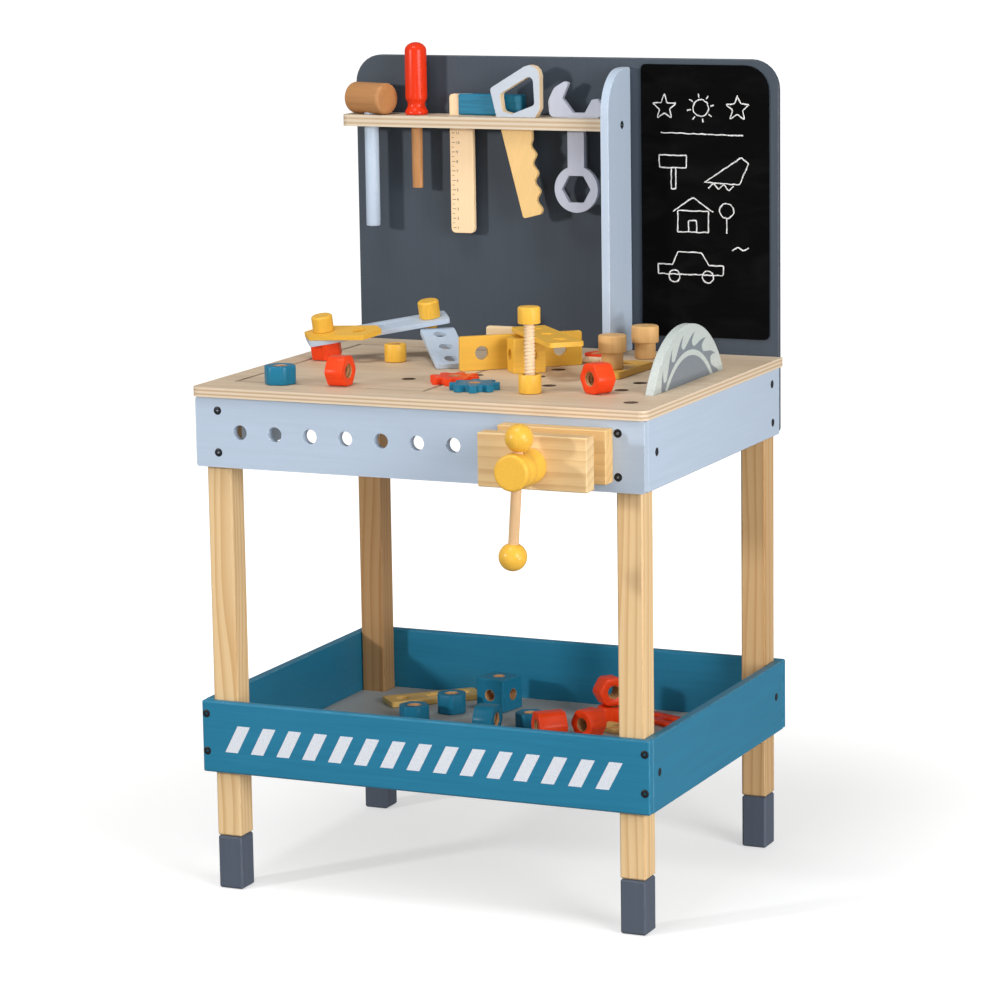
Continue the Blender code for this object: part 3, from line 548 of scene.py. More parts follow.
# ---------------------------------------------------------------- shapes
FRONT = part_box("front_apron")[0].y       # front face of the bench
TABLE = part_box("tabletop")[1].z
TRAY_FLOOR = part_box("tray_floor")[1].z
REST = 0.0003                            # gap under a piece that rests
TABLE_HOLES = (                          # x, and distance from the bench's front face
    (-0.059, 0.113), (-0.005, 0.158), (0.058, 0.169), (0.058, 0.219),
    (0.092, 0.117), (0.171, 0.112), (0.171, 0.161), (0.209, 0.043))
UP = Vector((0, 0, 1))
LEVEL_X = Matrix.Rotation(pi / 2, 4, "Y")       # turns Z to point along +X
LEVEL_Y = Matrix.Rotation(-pi / 2, 4, "X")      # turns Z to point along +Y
LEVEL_FRONT = Matrix.Rotation(pi / 2, 4, "X")   # turns Z to point along -Y


def flat(spin=0.0):
    """Turns about Z, in degrees."""
    return Matrix.Rotation(radians(spin), 4, "Z")


def standing(facing):
    """Turns Z to lie level, facing a compass angle in degrees, with a flat of a hexagon down."""
    return flat(facing) @ LEVEL_X @ flat(90)


def moved(point, turn=Matrix()):
    """A turn, then a move to a point."""
    return Matrix.Translation(point) @ turn


def spot(x, y, z):
    """A point given from the middle of the front apron's face."""
    return Vector((x, FRONT + y, z))


def span(node):
    """A frame node's centre, half its width, and its two corners."""
    low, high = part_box(node)
    return (low + high) / 2, (high.x - low.x) / 2, low, high


def middle(node):
    """The centre of a frame node's box."""
    return span(node)[0]


def place_piece(name, mesh, material, matrix, body, replaced=()):
    """Link a mesh as a piece that rides on a body; its place goes into the mesh."""
    mesh.name = name
    mesh.transform(matrix)
    mesh.materials.clear()
    mesh.materials.append(material)
    piece = added(name, mesh)
    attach(piece, body)
    if replaced:
        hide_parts(*replaced)


def smooth(mesh, sharp=35):
    """Smooth shading with hard edges past an angle in degrees."""
    mesh.shade_smooth()
    mesh.set_sharp_from_angle(angle=radians(sharp))
    return mesh


def loft(loops, closed=False, sharp=35):
    """A skin over rings of equally many points; closed joins the last to the first, else both are capped."""
    shape = bmesh.new()
    rings = [[shape.verts.new(point) for point in loop] for loop in loops]
    for one, two in zip(rings, rings[1:] + (rings[:1] if closed else [])):
        for i in range(len(one)):
            j = (i + 1) % len(one)
            shape.faces.new((one[i], one[j], two[j], two[i]))
    if not closed:
        shape.faces.new(rings[0])
        shape.faces.new(rings[-1])
    bmesh.ops.recalc_face_normals(shape, faces=shape.faces)
    return smooth(to_mesh(shape), sharp)


def cut(mesh, *cutters):
    """A mesh with other closed meshes taken out of it."""
    solid = added("solid", mesh)
    holders = [added("cutter", cutter) for cutter in cutters]
    for holder in holders:
        taken = solid.modifiers.new("taken", "BOOLEAN")
        taken.operation = "DIFFERENCE"
        taken.solver = "EXACT"
        taken.object = holder
    made = settled(solid, *holders)
    made.set_sharp_from_angle(angle=radians(35))
    return made


def ring(radius, height, segments):
    """A round ring at a height; radius is a number or a function of the angle."""
    points = []
    for i in range(segments):
        angle = 2 * pi * i / segments
        reach = radius(angle) if callable(radius) else radius
        points.append((reach * cos(angle), reach * sin(angle), height))
    return points


def arc(centre, radius, start, end, steps):
    """Points (out, height) on an arc, with angles in degrees from the outward direction."""
    return [(centre[0] + radius * cos(radians(start + (end - start) * i / steps)),
             centre[1] + radius * sin(radians(start + (end - start) * i / steps))) for i in range(steps + 1)]


def foot_edge(radius, low, ease, steps, start=-90):
    """The rounded lower edge of a turned profile."""
    return arc((radius - ease, low + ease), ease, start, 0, steps)


def head_edge(radius, high, ease, steps, end=90):
    """The rounded upper edge of a turned profile."""
    return arc((radius - ease, high - ease), ease, 0, end, steps)


def lathe(profile, segments=72, sharp=35):
    """A turned shape about Z from (radius, height) points, from the bottom up."""
    return loft([ring(max(r, 0.00005), z, segments) for r, z in profile], sharp=sharp)


def dowel(radius, low, high):
    """A round rod with rounded ends."""
    edges = foot_edge(radius, low, 0.0012, 4) + head_edge(radius, high, 0.0012, 4)
    return lathe([(0, low), *edges, (0, high)], 48)


def thread_ring(root, rise, pitch, height, segments=36):
    """A ring through a right-hand thread that rises from its root; in a bore the rise is negative."""
    def reach(angle):
        wave = 0.5 + 0.5 * cos(2 * pi * (height / pitch - angle / (2 * pi)))
        return root + rise * min(1.0, max(0.0, (wave - 0.22) / 0.5))
    return ring(reach, height, segments)


def thread_rod(crest, depth, pitch, low, high, segments=36, per_turn=9):
    """A threaded rod along Z."""
    steps = round((high - low) / pitch * per_turn)
    loops = []
    for i in range(steps + 1):
        z = low + (high - low) * i / steps
        fade = min(1.0, (z - low) / pitch * 1.5, (high - z) / pitch * 1.5)
        loops.append(thread_ring(crest - depth, depth * fade, pitch, z, segments))
    return loft(loops, sharp=60)


def thread_sleeve(length):
    """The threaded wall of a nut's bore along Z, as a thin sleeve."""
    steps = max(6, round(length / NUT_PITCH * 9))
    loops = []
    for i in range(steps + 1):
        fade = min(1.0, i / 4, (steps - i) / 4)
        loops.append(thread_ring(BORE, -BORE_THREAD * fade, NUT_PITCH, length * (i / steps - 0.5)))
    loops += [ring(BORE + 0.0004, side * length / 2, 36) for side in (1, -1)]
    return loft(loops, closed=True, sharp=60)


def hexagon(across, corner=0.0011):
    """Reach of a hexagon with rounded corners, by angle."""
    def reach(angle):
        off = (angle + pi / 6) % (pi / 3) - pi / 6
        return min(across / 2 / cos(pi / 6 - abs(off)), across / 2 / cos(pi / 6) - corner)
    return reach


def nut_mesh(outer, height):
    """A nut about Z: outer is its radius, or its reach by angle."""
    half, ease, mouth = height / 2, 0.0011, 0.0007

    def side(back):
        return lambda angle: (outer(angle) if callable(outer) else outer) - back
    rim = [(BORE + mouth, half), (side(ease), half), (side(ease * 0.3), half - ease * 0.3),
           (side(0), half - ease)]
    profile = [(r, -z) for r, z in rim] + rim[::-1] + [(BORE, half - mouth), (BORE, mouth - half)]
    return loft([ring(r, z, 72) for r, z in profile], closed=True, sharp=50)


def plank_mesh(length, width, thickness, holes, ease=0.0006, corner=0.003):
    """A flat bar with rounded corners and a row of round holes."""
    outline = []
    for side_x, side_y, start in ((1, 1, 0), (-1, 1, 90), (-1, -1, 180), (1, -1, 270)):
        centre = (side_x * (length / 2 - corner), side_y * (width / 2 - corner))
        outline += arc(centre, corner, start, start + 90, 6)
    curve = bpy.data.curves.new("outline", "CURVE")
    curve.dimensions = "2D"
    curve.fill_mode = "BOTH"
    curve.extrude = thickness / 2 - ease
    curve.bevel_depth = ease
    curve.bevel_resolution = 2
    curve.offset = -ease
    for loop in (outline, *([(hole + x, y) for x, y, _ in ring(BORE, 0, 40)] for hole in holes)):
        spline = curve.splines.new("POLY")
        spline.points.add(len(loop) - 1)
        for point, (x, y) in zip(spline.points, loop):
            point.co = (x, y, 0, 1)
        spline.use_cyclic_u = True
    shape = bmesh.new()
    shape.from_mesh(settled(added("outline", curve)))
    bmesh.ops.remove_doubles(shape, verts=shape.verts, dist=0.00001)
    bmesh.ops.recalc_face_normals(shape, faces=shape.faces)
    return smooth(to_mesh(shape))


# ---------------------------------------------------------------- frame boards
def dress_boards():
    """Table, aprons, legs, feet, tray and back."""
    # tone_and_shade darkens each leg's pine colours: for the front legs (0.95, 0.94) it is the wood's own
    # tone, for the rear legs (0.56, 0.74) it is painted shade from the tabletop above them
    for row, side, x_heart, y_heart, tone_and_shade in (
            ("front", "left", 0.026, -0.034, 0.95), ("front", "right", -0.030, -0.034, 0.94),
            ("rear", "left", 0.026, 0.041, 0.56), ("rear", "right", -0.030, 0.041, 0.74)):
        leg, foot = f"{row}_{side}_leg", f"{row}_{side}_foot"
        light, dark = (tuple(c * tone_and_shade ** power for c, power in zip(tint, (1.0, 1.35, 1.7)))
                       for tint in ((0.82, 0.595, 0.330), (0.60, 0.34, 0.13)))
        heart = middle(leg) + Vector((x_heart, y_heart, 0.1))
        dress(leg, pine(leg + "_pine", (0.006, 0.004, 1), heart, light, dark, 0.0062, 0.74), 0.0005)
        dress(foot, painted(foot + "_paint", FOOT_SLATE, (0, 0, 1), 0.48, 0.07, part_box(foot), FOOT_WEAR_AND_HIGHLIGHT))
    for node, name, light, dark, depth, sunk in (
            ("tabletop", "tabletop_birch", (0.715, 0.58, 0.43), (0.51, 0.35, 0.205), 0.40,
             {"holes": [(x, FRONT + y) for x, y in TABLE_HOLES],
              "frame_line": (-0.113, FRONT + 0.184, 0.103, 0.140)}),
            ("tool_rack", "rack_birch", (0.625, 0.53, 0.405), (0.50, 0.35, 0.21), 0.30, {})):
        low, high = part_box(node)
        plies = (low.z, high.z, 5, 2)
        dress(node, birch(name, (1, 0, 0), light, dark, depth, plies=plies, **sunk), 0.0008)
    for nodes, tint, rough, show, edge_wear_and_highlight, ease in (
            (("front_apron", "left_apron", "right_apron", "divider"), BLUE, 0.40, 0.035, BLUE_WEAR_AND_HIGHLIGHT, 0.0008),
            (("tray_front", "tray_back", "tray_left", "tray_right"), TEAL_PAINT, 0.38, 0.09, TEAL_WEAR_AND_HIGHLIGHT,
             0.0007)):
        for node in nodes:
            grain = (0, 1, 0) if "left" in node or "right" in node else (1, 0, 0)
            if node == "divider":
                grain = (0, 0, 1)
            dress(node, painted(node + "_paint", tint, grain, rough, show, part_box(node), edge_wear_and_highlight), ease)
    # the panel's lighter edge tint is partly wear and partly painted highlight
    dress("back_panel", painted("panel_paint", SLATE, (0, 0, 1), 0.50, 0.06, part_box("back_panel"),
                                (0.16, 0.18, 0.21)), 0.0008)
    dress("chalkboard", chalk_surface("chalk_surface"), 0)
    dress("tray_floor", board_grey("tray_floor_grey"), 0)
    dress("saw_rest_rail", pine("rail_pine", (0, 1, 0), middle("saw_rest_rail") + Vector((0.03, 0, 0.04))))


# ---------------------------------------------------------------- screws
def screw_mesh():
    """A countersunk screw head with a cross recess."""
    radius, dome = 0.0042, 0.0006
    crown = [(radius * cos(radians(a)), dome * sin(radians(a))) for a in (20, 45, 70)]
    head = lathe([(0, -0.0012), (radius - 0.0008, -0.0012), (radius - 0.0001, -0.0002), (radius, 0.0),
                  *crown, (0, dome)], 40)
    recesses = []
    for size in ((0.0046, 0.0011, 0.0022), (0.0011, 0.0046, 0.0022)):
        shape = bmesh.new()
        bmesh.ops.create_cube(shape, size=1.0)
        bmesh.ops.scale(shape, vec=size, verts=shape.verts)
        for vertex in shape.verts:
            if vertex.co.z < 0:
                vertex.co.xy *= 0.55
            vertex.co.z += dome
        recesses.append(to_mesh(shape))
    return cut(head, *recesses)


def build_screws():
    """Cross-head screws that hold the boards to the legs, the tray and the rack."""
    steel, base = zinc("screw_zinc"), screw_mesh()
    facings = {"front": 0, "back": 180, "left": -90, "right": 90}
    apron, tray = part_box("front_apron")[0].y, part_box("tray_front")[0].y
    panel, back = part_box("back_panel")[1].y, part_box("tray_back")[1].y
    side_x, tray_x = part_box("right_apron")[1].x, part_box("tray_right")[1].x
    divider, rack = middle("divider"), middle("tool_rack")
    rows = [("front", (x, apron, z)) for x in (-0.2150, 0.2128) for z in (0.4930, 0.4510)]
    rows += [(side, (x, y, z)) for x in (-0.2375, 0.2375) for z in (0.1835, 0.1450)
             for side, y in (("front", tray), ("back", back))]
    rows += [(side, (sign * x, FRONT + y, z)) for side, sign in (("left", -1), ("right", 1))
             for x, y, z in ((side_x, 0.031, 0.472), (side_x, 0.349, 0.491), (side_x, 0.351, 0.451),
                             (tray_x, 0.025, 0.161), (tray_x, 0.352, 0.162))]
    rows += [("back", (x, panel, z)) for x in (-0.222, 0.222) for z in (0.495, 0.450)]
    rows += [("back", (divider.x, panel, z)) for z in (0.560, 0.670, 0.785)]
    rows += [("back", (x, panel, rack.z)) for x in (-0.215, -0.085)]
    rows.append(("right", (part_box("divider")[1].x, rack.y - 0.004, rack.z)))
    for i, (side, place) in enumerate(rows):
        matrix = moved(place, flat(facings[side]) @ LEVEL_FRONT @ flat(17 * i))
        place_piece(f"screw_{i + 1}", base.copy(), steel, matrix, "bench")


# ---------------------------------------------------------------- prints
def build_tray_stripes():
    """White slanted warning stripes printed along the tray's front board."""
    count, first, pitch, width, slant = 15, -0.2170, 0.0288, 0.0140, 0.0146
    low, high = 0.1453, 0.1731
    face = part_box("tray_front")[0].y
    shape = bmesh.new()
    for i in range(count):
        x = first + pitch * i
        corners = [(x, low), (x + width, low), (x + width + slant, high), (x + slant, high)]
        back, front = ([shape.verts.new((px, face + depth, pz)) for px, pz in corners]
                       for depth in (0.0001, -0.00012))
        shape.faces.new(front)
        shape.faces.new(back[::-1])
        for a in range(4):
            b = (a + 1) % 4
            shape.faces.new((front[a], back[a], back[b], front[b]))
    bmesh.ops.recalc_face_normals(shape, faces=shape.faces)
    place_piece("tray_stripes", to_mesh(shape), white_print("stripe_white"), Matrix(), "bench")


def build_ruler():
    """Centimetre marks and numbers on the square's blade."""
    low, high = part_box("square_blade")
    left, bottom, step, count = low.x + 0.0022, low.z + 0.0055, 0.010, 11
    marks_end = high.z - 0.035               # the marks stop below the blade's head
    shape = bmesh.new()
    for i in range(count):
        for length, z in ((0.0040, bottom + step * i), (0.0022, bottom + step * (i + 0.5))):
            if z > marks_end:
                continue
            made = bmesh.ops.create_cube(shape, size=1.0)
            bmesh.ops.scale(shape, vec=(length, 0.0002, 0.0005), verts=made["verts"])
            bmesh.ops.translate(shape, vec=(left + length / 2, low.y, z), verts=made["verts"])
    for i in range(count):
        text = bpy.data.curves.new("number", "FONT")
        text.body = str(i + 1)
        text.size = 0.0042
        text.extrude = 0.0001
        mesh = settled(added("number", text))
        mesh.transform(moved((left + 0.0050, low.y, bottom + step * i - 0.0015), LEVEL_FRONT))
        shape.from_mesh(mesh)
    place_piece("ruler_marks", to_mesh(shape), black_ink("ruler_ink"), Matrix(), "square")


def chalk_stroke(name, points, ink, rng, closed=False):
    """One hand-drawn chalk stroke through points on the board."""
    curve = bpy.data.curves.new(name, "CURVE")
    curve.dimensions = "3D"
    curve.bevel_depth = 0.00072
    curve.bevel_resolution = 2
    curve.use_fill_caps = True
    spline = curve.splines.new("NURBS")
    path = [*points, points[0]] if closed else list(points)
    finer = []
    for (x0, z0), (x1, z1) in zip(path, path[1:]):
        steps = max(2, round(hypot(x1 - x0, z1 - z0) / 0.003))
        finer += [(x0 + (x1 - x0) * i / steps, z0 + (z1 - z0) * i / steps) for i in range(steps)]
    finer.append(path[-1])
    spline.points.add(len(finer) - 1)
    for point, (x, z) in zip(spline.points, finer):
        point.co = (x + rng.uniform(-0.0004, 0.0004), 0, z + rng.uniform(-0.0004, 0.0004), 1)
        point.radius = rng.uniform(0.65, 1.15)
    spline.order_u = 3
    spline.use_endpoint_u = True
    squeeze = moved((0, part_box("chalkboard")[0].y, 0), Matrix.Diagonal((1, 0.22, 1, 1)))
    place_piece(name, settled(added("drawing", curve)), ink, squeeze, "bench")


def build_chalk_drawing():
    """Chalk pictures without letters: stars and a sun over a line, then tools, a house, a tree and a car."""
    low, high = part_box("chalkboard")

    def at(*points):
        """Points given from the board's upper left corner."""
        return [(low.x + x, high.z - z) for x, z in points]

    def round_trip(x, z, radius, count, inner=None):
        """A circle, or a star with an inner radius."""
        reaches = [inner if inner and i % 2 else radius for i in range(count)]
        angles = [radians(90 + 360 * i / count) for i in range(count)]
        return [(cx + r * cos(a), cz + r * sin(a)) for r, a in zip(reaches, angles) for cx, cz in at((x, z))]
    strokes = [
        (round_trip(0.026, 0.044, 0.0135, 10, 0.0058), True),
        (round_trip(0.066, 0.044, 0.0085, 18), True),
        (round_trip(0.106, 0.044, 0.0135, 10, 0.0058), True),
    ]
    (sun_x, sun_z), = at((0.066, 0.044))
    for a in (radians(45 * i + 10) for i in range(8)):
        strokes.append(([(sun_x + r * cos(a), sun_z + r * sin(a)) for r in (0.0108, 0.0150)], False))
    strokes += [
        (at((0.022, 0.070), (0.112, 0.0715)), False),
        (at((0.020, 0.093), (0.050, 0.093), (0.050, 0.106), (0.020, 0.106)), True),
        (at((0.033, 0.106), (0.033, 0.128), (0.038, 0.128), (0.038, 0.106)), False),
        (at((0.070, 0.120), (0.110, 0.094), (0.118, 0.100), (0.108, 0.122), (0.070, 0.120)), False),
        (at((0.074, 0.126), (0.080, 0.121), (0.085, 0.127), (0.091, 0.122), (0.096, 0.128), (0.102, 0.123)),
         False),
        (at((0.040, 0.172), (0.040, 0.150), (0.074, 0.150), (0.074, 0.172)), True),
        (at((0.035, 0.151), (0.057, 0.136), (0.079, 0.151)), False),
        (at((0.052, 0.172), (0.052, 0.160), (0.061, 0.160), (0.061, 0.172)), False),
        (at((0.094, 0.172), (0.094, 0.156)), False),
        (round_trip(0.094, 0.149, 0.0078, 14), True),
        (at((0.018, 0.206), (0.034, 0.206), (0.040, 0.193), (0.066, 0.193), (0.074, 0.206), (0.090, 0.206),
            (0.090, 0.216), (0.018, 0.216)), True),
        (round_trip(0.036, 0.218, 0.0062, 14), True),
        (round_trip(0.073, 0.218, 0.0062, 14), True),
        (at((0.100, 0.190), (0.106, 0.186), (0.112, 0.190), (0.118, 0.186)), False),
    ]
    ink, rng = chalk_line("chalk"), random.Random(7)
    for i, (points, closed) in enumerate(strokes):
        chalk_stroke(f"chalk_stroke_{i + 1}", points, ink, rng, closed)


# ---------------------------------------------------------------- hanging tools
def dress_tools():
    """The square, the saw, the wrench, and the turned hammer and screwdriver."""
    low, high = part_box("hand_saw_handle")
    saw_tan = (0.78, 0.52, 0.22)
    for node, material in (
            ("square_blade", birch("square_birch", (0, 0, 1), (0.90, 0.67, 0.42), (0.72, 0.48, 0.26), 0.14)),
            ("square_stock", stained("stock_teal", TEAL, (1, 0, 0), show=0.25)),
            ("hand_saw_blade", stained("saw_blade_tan", saw_tan, (0.3, 0, 1), show=0.05)),
            ("hand_saw_handle", painted("saw_handle_paint", (0.50, 0.55, 0.62), (1, 0, 0), 0.40, 0.03,
                                        plies=(1, low.y, high.y, 5))),
            ("wrench", painted("wrench_paint", (0.50, 0.53, 0.63), (0, 0, 1), 0.42, 0.03))):
        dress(node, material, 0.0007)

    low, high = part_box("hammer_head")
    eye = middle("hammer_handle")
    radius, half, crown = (high.z - low.z) / 2, 0.025, 0.0035
    turn = flat(-19) @ LEVEL_X
    centre = Vector((eye.x, eye.y, (low.z + high.z) / 2))
    profile = [(0, -half), (radius - 0.0050, -half), *foot_edge(radius, -half, crown, 6, -75),
               *head_edge(radius, half, crown, 6, 75), (radius - 0.0050, half), (0, half)]
    place_piece("hammer_head_turned", lathe(profile, 96),
                stained("hammer_brown", BROWN, turn @ UP, roughness=0.42, show=0.12),
                moved(centre, turn), "hammer", ["hammer_head"])
    eye, r, low, high = span("hammer_handle")
    place_piece("hammer_handle_turned", dowel(r, low.z, min(high.z, centre.z)),
                painted("handle_paint", PALE_BLUE, (0, 0, 1), 0.40, 0.03),
                moved((eye.x, eye.y, 0)), "hammer", ["hammer_handle"])

    axis, r, low, high = span("screwdriver_handle")
    z, top = low.z, high.z - 0.0090
    waist = ((1, 0.0032), (0.965, 0.0042), (0.87, 0.0058), (0.79, 0.0080), (0.75, 0.0105), (0.77, 0.0126),
             (0.84, 0.0143), (0.91, 0.0156), (0.94, 0.0172), (0.95, 0.0200))
    cap = [(r * 0.95 * cos(radians(a)), top + 0.0090 * sin(radians(a))) for a in (12, 25, 38, 50, 62, 74, 84)]
    profile = [(0, z), (r * 0.94, z), *arc((r * 0.94, z + 0.0010), r * 0.06, -90, 0, 3),
               *[(r * share, z + height) for share, height in waist], (r * 0.95, top), *cap, (0, high.z)]
    place_piece("screwdriver_handle_turned", lathe(profile, 72, 50),
                stained("driver_red", (0.74, 0.034, 0.005), (0, 0, 1), roughness=0.27, show=0.05),
                moved((axis.x, axis.y, 0)), "screwdriver", ["screwdriver_handle"])
    _, r, low, _ = span("screwdriver_shank")
    blade = 0.026
    rings = []
    for i in range(25):
        height = low.z + (axis.z - low.z) * i / 24
        thin = 0.62 + 0.38 * min(1.0, (height - low.z) / blade)      # flattened towards the tip
        rings.append([(x, y * thin, z) for x, y, z in ring(r, height, 40)])
    place_piece("screwdriver_shank_turned", loft(rings, sharp=50),
                stained("driver_brown", BROWN, (0, 0, 1), roughness=0.45, show=0.12),
                moved((axis.x, axis.y, 0)), "screwdriver", ["screwdriver_shank"])


# ---------------------------------------------------------------- vise
def dress_vise():
    """Jaws, guide dowels, threaded screw, and the knob with its leaning handle."""
    jaw_dark = (0.56, 0.31, 0.12)
    for jaw, slant, heart, light, growth in (
            ("moving_jaw", 0.03, (0, 0.018, -0.045), (0.81, 0.580, 0.300), 0.0105),
            ("fixed_jaw", -0.02, (0, -0.022, 0.038), (0.78, 0.51, 0.215), 0.0090)):
        heart = middle("vise_" + jaw) + Vector(heart)
        wood = pine(jaw + "_pine", (1, 0, slant), heart, light, jaw_dark, growth, 0.50)
        dress("vise_" + jaw, wood, 0.0009, 3)
    dress("vise_nut", birch("vise_nut_birch", (0, 1, 0)))
    beech, screw_beech = (birch(name, (0, 1, 0), (0.80, 0.58, 0.36), (0.62, 0.40, 0.21), 0.2)
                          for name in ("dowel_beech", "screw_beech"))
    for node in ("vise_guide_dowel_1", "vise_guide_dowel_2", "vise_screw"):
        centre, radius, low, high = span(node)
        place = moved((centre.x, 0, centre.z), LEVEL_Y)
        if node == "vise_screw":
            place_piece("vise_screw_thread", thread_rod(radius, 0.0014, SCREW_LEAD, low.y, high.y, 48, 14),
                        screw_beech, place, "vise_spindle", [node])
        else:
            place_piece(node + "_turned", dowel(radius, low.y, high.y), beech, place, "vise_jaw",
                        [node])

    centre, r, low, high = span("vise_knob")
    half = (high.y - low.y) / 2
    grooves = ((r, -half * 0.62), (r - 0.0002, -half * 0.60), (r, -half * 0.58),
               (r, half * 0.1), (r - 0.0002, half * 0.12), (r, half * 0.14))
    profile = [(0, -half), (r - 0.0042, -half), *foot_edge(r, -half, 0.0028, 6), *grooves,
               *head_edge(r, half, 0.0008, 3), (0, half)]
    bar_low, bar_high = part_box("vise_handle_bar")
    bar_y = (bar_low.y + bar_high.y) / 2
    tilt = Matrix.Rotation(radians(HANDLE_TILT), 4, "Y")
    bore = lathe([(0, -0.03), (HANDLE_BORE, -0.03), (HANDLE_BORE, 0.03), (0, 0.03)], 48)
    bore.transform(moved((0, 0, bar_y - centre.y), LEVEL_FRONT))
    place_piece("vise_knob_turned", cut(lathe(profile, 96), bore),
                stained("knob_yellow", YELLOW, (0, 1, 0), roughness=0.34, show=0.06),
                moved(centre, tilt @ LEVEL_Y), "vise_spindle", ["vise_knob"])

    ball, stem = 0.0135, 0.0050
    place = moved((centre.x, bar_y, centre.z), tilt)
    top, bottom = ((z - centre.z) / cos(radians(HANDLE_TILT)) for z in (bar_high.z - ball, bar_low.z + ball))
    for name, height, side in (("handle_ball_top", top, 1), ("handle_ball_bottom", bottom, -1)):
        turned = [(0, ball * sin(radians(-66))), *arc((0, 0), ball, -66, 77, 26)]
        crown = turned[-1][1]                  # a small flat with the mark of the lathe's centre
        turned += [(0.0013, crown), (0.0009, crown - 0.0005), (0, crown - 0.0005)]
        place_piece(name, lathe([(r, height + side * z) for r, z in turned], 64),
                    stained(name + "_yellow", YELLOW, (0, 0, 1), roughness=0.26, show=0.04),
                    place, "vise_handle", ["vise_handle_bar"] if side > 0 else ())
    place_piece("handle_dowel", lathe([(0, bottom), (stem, bottom), (stem, top), (0, top)], 48),
                birch("handle_beech", (0, 0, 1), (0.72, 0.47, 0.25), (0.56, 0.33, 0.16), 0.25),
                place, "vise_handle")


# ---------------------------------------------------------------- circular saw
def dress_saw():
    """A printed ring of leaning teeth on both faces, round a darker disc."""
    g = Graph("saw_print", 0.42)
    radius = 0.107
    root, tip, teeth, soft = 0.0850, 0.0995, 20, 0.00018
    _, y, z = g.split(g.place)
    dy = g.minus(y, middle("circular_saw_segment").y)
    dz = g.minus(z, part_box("circular_saw_segment")[1].z - radius)
    reach = g.reach(dy, dz)
    rise = g.math("DIVIDE", g.math("SUBTRACT", reach, root), tip - root, clamp=True)
    lean = g.times(g.math("POWER", rise, 1.5), 0.55)
    turn = g.math("FRACT", g.plus(g.times(g.math("ARCTAN2", dz, dy), teeth / (2 * pi)), lean))
    off = g.math("ABSOLUTE", g.minus(turn, 0.5))
    rounding = g.math("SQRT", g.math("DIVIDE", rise, 0.3, clamp=True))
    finger = g.plus(g.times(rounding, 0.26), g.times(g.math("POWER", rise, 1.3), 0.24))
    ring_mask = g.times(g.band(reach, 0.0815, tip, soft), g.step(g.minus(off, finger), 0.0, 0.02))
    disc = g.below(reach, 0.0760, soft)
    dark = g.times(g.math("MAXIMUM", ring_mask, disc), g.step(lean_along(g, 0), 0.8, 0.05))
    grit = g.noise(g.place, 500.0, 3.0)
    light = g.ramp(grit, [(0.3, (0.47, 0.52, 0.50)), (0.7, (0.56, 0.61, 0.585))])
    ink = g.ramp(grit, [(0.3, (0.185, 0.215, 0.245)), (0.7, (0.225, 0.255, 0.285))])
    height = g.plus(grit, g.times(dark, 0.4))
    print_paint = g.finish(g.mix(dark, light, ink), height, 0.08, 0.0003, (grit, 0.2, 0.34))
    dress("circular_saw_segment", print_paint, 0.0007)


# ---------------------------------------------------------------- loose parts
def loose_nut(name, tint, centre, turn, height, body="bench", node=None, across=0.0295, is_round=False):
    """A threaded hexagon or round nut; it replaces a frame node if one is given."""
    matrix, way, slot = moved(centre, turn), turn @ UP, SLOTS[tint]
    stain = stained(name + "_stain", tint, way, [(centre, way, BORE)])
    mesh = nut_mesh(across / 2 if is_round else hexagon(across), height)
    place_piece(name + "_turned" if node else name, mesh, stain, matrix, body, [node] if node else ())
    place_piece(name + "_thread", thread_sleeve(height - 0.0022), BARE, matrix, body)


def loose_plank(name, tint, size, holes, matrix):
    """A flat bar with holes that rides on the bench; size is its length, width and thickness."""
    paint = painted(name + "_paint", tint, matrix.to_3x3() @ Vector((1, 0, 0)), 0.40, 0.07)
    place_piece(name, plank_mesh(*size, holes), paint, matrix, "bench")


def natural_peg(name, centre, body, replaced=()):
    """A turned wooden peg: a broad head on a thinner shank."""
    shank, head, half, shoulder = 0.0108, 0.0141, 0.0170, -0.0005
    profile = [(0, -half), *foot_edge(shank, -half, 0.0010, 3), (shank, shoulder),
               *foot_edge(head, shoulder, 0.0012, 3), *head_edge(head, half, 0.0016, 4), (0, half)]
    grain = birch(name + "_beech", (0, 0, 1), (0.72, 0.44, 0.18), (0.50, 0.27, 0.10), 0.35)
    place_piece(name, lathe(profile), grain, moved(centre), body, replaced)


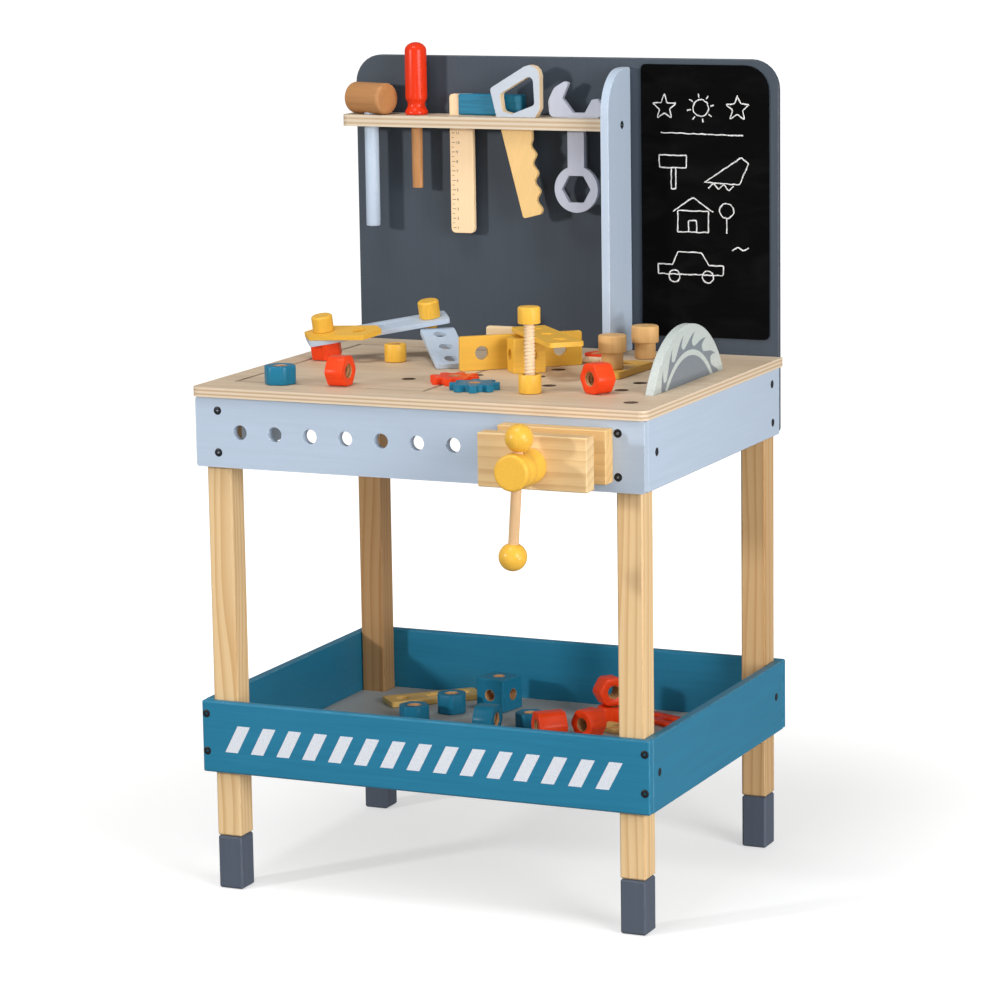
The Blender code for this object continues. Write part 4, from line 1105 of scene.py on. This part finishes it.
def dress_loose():
    """The loose parts that are in the frame: nuts, the tall bolt, planks, gears, the cube and the peg."""
    for node, tint, turn, height, body in (
            ("nut_teal_table", TEAL, flat(10), 0.0185, "teal_nut"),
            ("nut_red_table_left", RED, standing(0), 0.0195, "red_nut_left"),
            ("nut_red_table_right", RED, standing(238), 0.0205, "red_nut_right")):
        loose_nut(node, tint, middle(node), turn, height, body, node)
    for node, body in (("nut_yellow_table", "yellow_nut"), ("nut_yellow_tall", "tall_bolt")):
        loose_nut(node, YELLOW, middle(node), flat(), 0.0185, body, node, 0.0226, True)

    bolt, head, head_r, shank = "bolt_yellow_tall", 0.0165, 0.0110, 0.066
    centre, top = middle(bolt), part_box(bolt)[1].z
    place = moved((centre.x, centre.y, top - head))
    profile = [(0, 0), (head_r - 0.0006, 0), *foot_edge(head_r, 0, 0.0006, 2),
               *head_edge(head_r, head, 0.0020, 5), (0, head)]
    place_piece(bolt + "_head", lathe(profile, 64), stained(bolt + "_stain", YELLOW, UP), place,
                "tall_bolt", [bolt])
    place_piece(bolt + "_shank", thread_rod(0.0054, 0.0010, SHANK_PITCH, -shank, 0.001), BEECH, place,
                "tall_bolt")

    cube = middle("cube_teal")
    spin = radians(79)
    ways = [Vector((cos(spin), sin(spin), 0)), Vector((-sin(spin), cos(spin), 0)), UP]
    for node, tint, bores, width in (
            ("bolt_bridge_left", YELLOW, None, 0.0005), ("bolt_bridge_right", YELLOW, None, 0.0005),
            ("gear_red", RED, [(middle("gear_red"), UP, 0.006)], 0.0006),
            ("gear_teal", TEAL, [(middle("gear_teal"), UP, 0.006)], 0.0006),
            ("cube_teal", TEAL, [(cube, way, 0.006) for way in ways], 0.0007)):
        name = "cube_stain" if node == "cube_teal" else node + "_stain"
        dress(node, stained(name, tint, (1, 0, 0), bores) if bores else stained(name, tint), width)
    dress("nut_red_bridge", stained("bridge_nut_red", RED))
    for node, tint, heading, show in (
            ("plank_blue_long", PALE_BLUE, (0.092, 0.062, 0.015), 0.04),
            ("plank_blue_ramp", PALE_BLUE, (0.052, -0.072, -0.025), 0.04),
            ("plank_yellow_short", YELLOW, (1, 0, 0), 0.07),
            ("plank_yellow_long", YELLOW, (0.099, 0.082, 0), 0.07),
            ("bracket_yellow", YELLOW, (0.099, 0.082, 0), 0.07),
            ("plank_yellow_top", YELLOW, (0.656, -0.755, 0), 0.07),
            ("plank_ochre", (0.70, 0.40, 0.08), (0, 1, 0), 0.10)):
        dress(node, painted(node + "_paint", tint, heading, 0.40, show))
    natural_peg("peg_natural_turned", middle("peg_natural"), "plank_and_peg", ["peg_natural"])


def build_extras():
    """Small parts seen on the table and in the tray that only ride on the bench."""
    low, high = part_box("peg_natural")
    natural_peg("peg_spare", spot(0.112, 0.320, TABLE + REST + (high.z - low.z) / 2), "bench")
    loose_nut("nut_red_thin", RED, spot(0.075, 0.283, TABLE + REST + 0.0045), flat(8), 0.009, across=0.026)
    place_piece("dowel_ribbed", thread_rod(0.0035, 0.0005, 0.0024, -0.017, 0.017), BEECH,
                moved(spot(0.075, 0.2685, TABLE + REST + 0.0035), flat(3) @ LEVEL_X), "bench")
    floor = TRAY_FLOOR + REST
    for name, tint, size, holes, place, turn, slot in (
            ("plank_pale_edge", (0.80, 0.60, 0.36), (0.070, 0.035, 0.005), (-0.020, 0.020),
             (-0.005, 0.262, TABLE + REST + 0.0175), LEVEL_FRONT, "tan_stain"),
            ("plank_yellow_tray", (0.95, 0.60, 0.19), (0.104, 0.034, 0.006), (-0.034, 0.0, 0.034),
             (-0.140, 0.3265, floor + 0.0030), flat(44), "yellow_paint"),
            ("plank_red_tray", RED, (0.080, 0.030, 0.005), (-0.024, 0.0, 0.024),
             (0.138, 0.3180, floor + 0.0025), flat(-22), "red_stain"),
            ("plank_pale_tray", (0.86, 0.57, 0.20), (0.060, 0.026, 0.005), (-0.016, 0.016),
             (0.107, 0.2680, floor + 0.0025), flat(-16), "tan_stain")):
        loose_plank(name, tint, size, holes, moved(spot(*place), turn))
    for name, tint, (x, y, z), turn, height in (
            ("nut_teal_tray_1", TEAL, (-0.120, 0.238, 0.0085), flat(12), 0.017),
            ("nut_teal_tray_2", TEAL, (-0.0985, 0.2853, 0.0105), flat(-8), 0.021),
            ("nut_teal_tray_3", TEAL, (-0.0256, 0.216, 0.01475), standing(2), 0.022),
            ("nut_teal_tray_4", TEAL, (0.0085, 0.250, 0.0085), flat(25), 0.017),
            ("nut_red_tray_1", RED, (0.0462, 0.2127, 0.01475), standing(222), 0.030),
            ("nut_red_tray_2", RED, (0.0809, 0.2346, 0.01475), standing(247), 0.021),
            ("nut_red_tray_3", RED, (0.0780, 0.3060, 0.0085), flat(20), 0.017),
            ("nut_red_tray_4", RED, (0.0735, 0.3100, 0.0319), standing(318), 0.020)):
        loose_nut(name, tint, spot(x, y, floor + z), turn, height)


build_camera()
build_stage()
BARE = birch("bare_bore", (0, 0, 1), (0.58, 0.33, 0.15), (0.36, 0.18, 0.07), 0.4)
BEECH = birch("shank_beech", (0, 0, 1), (0.86, 0.66, 0.45), (0.66, 0.42, 0.24), 0.25)
dress_boards()
dress_tools()
dress_vise()
dress_saw()
dress_loose()
build_extras()
build_screws()
build_tray_stripes()
build_ruler()
build_chalk_drawing()
bpy.context.scene.view_settings.view_transform = "Standard"
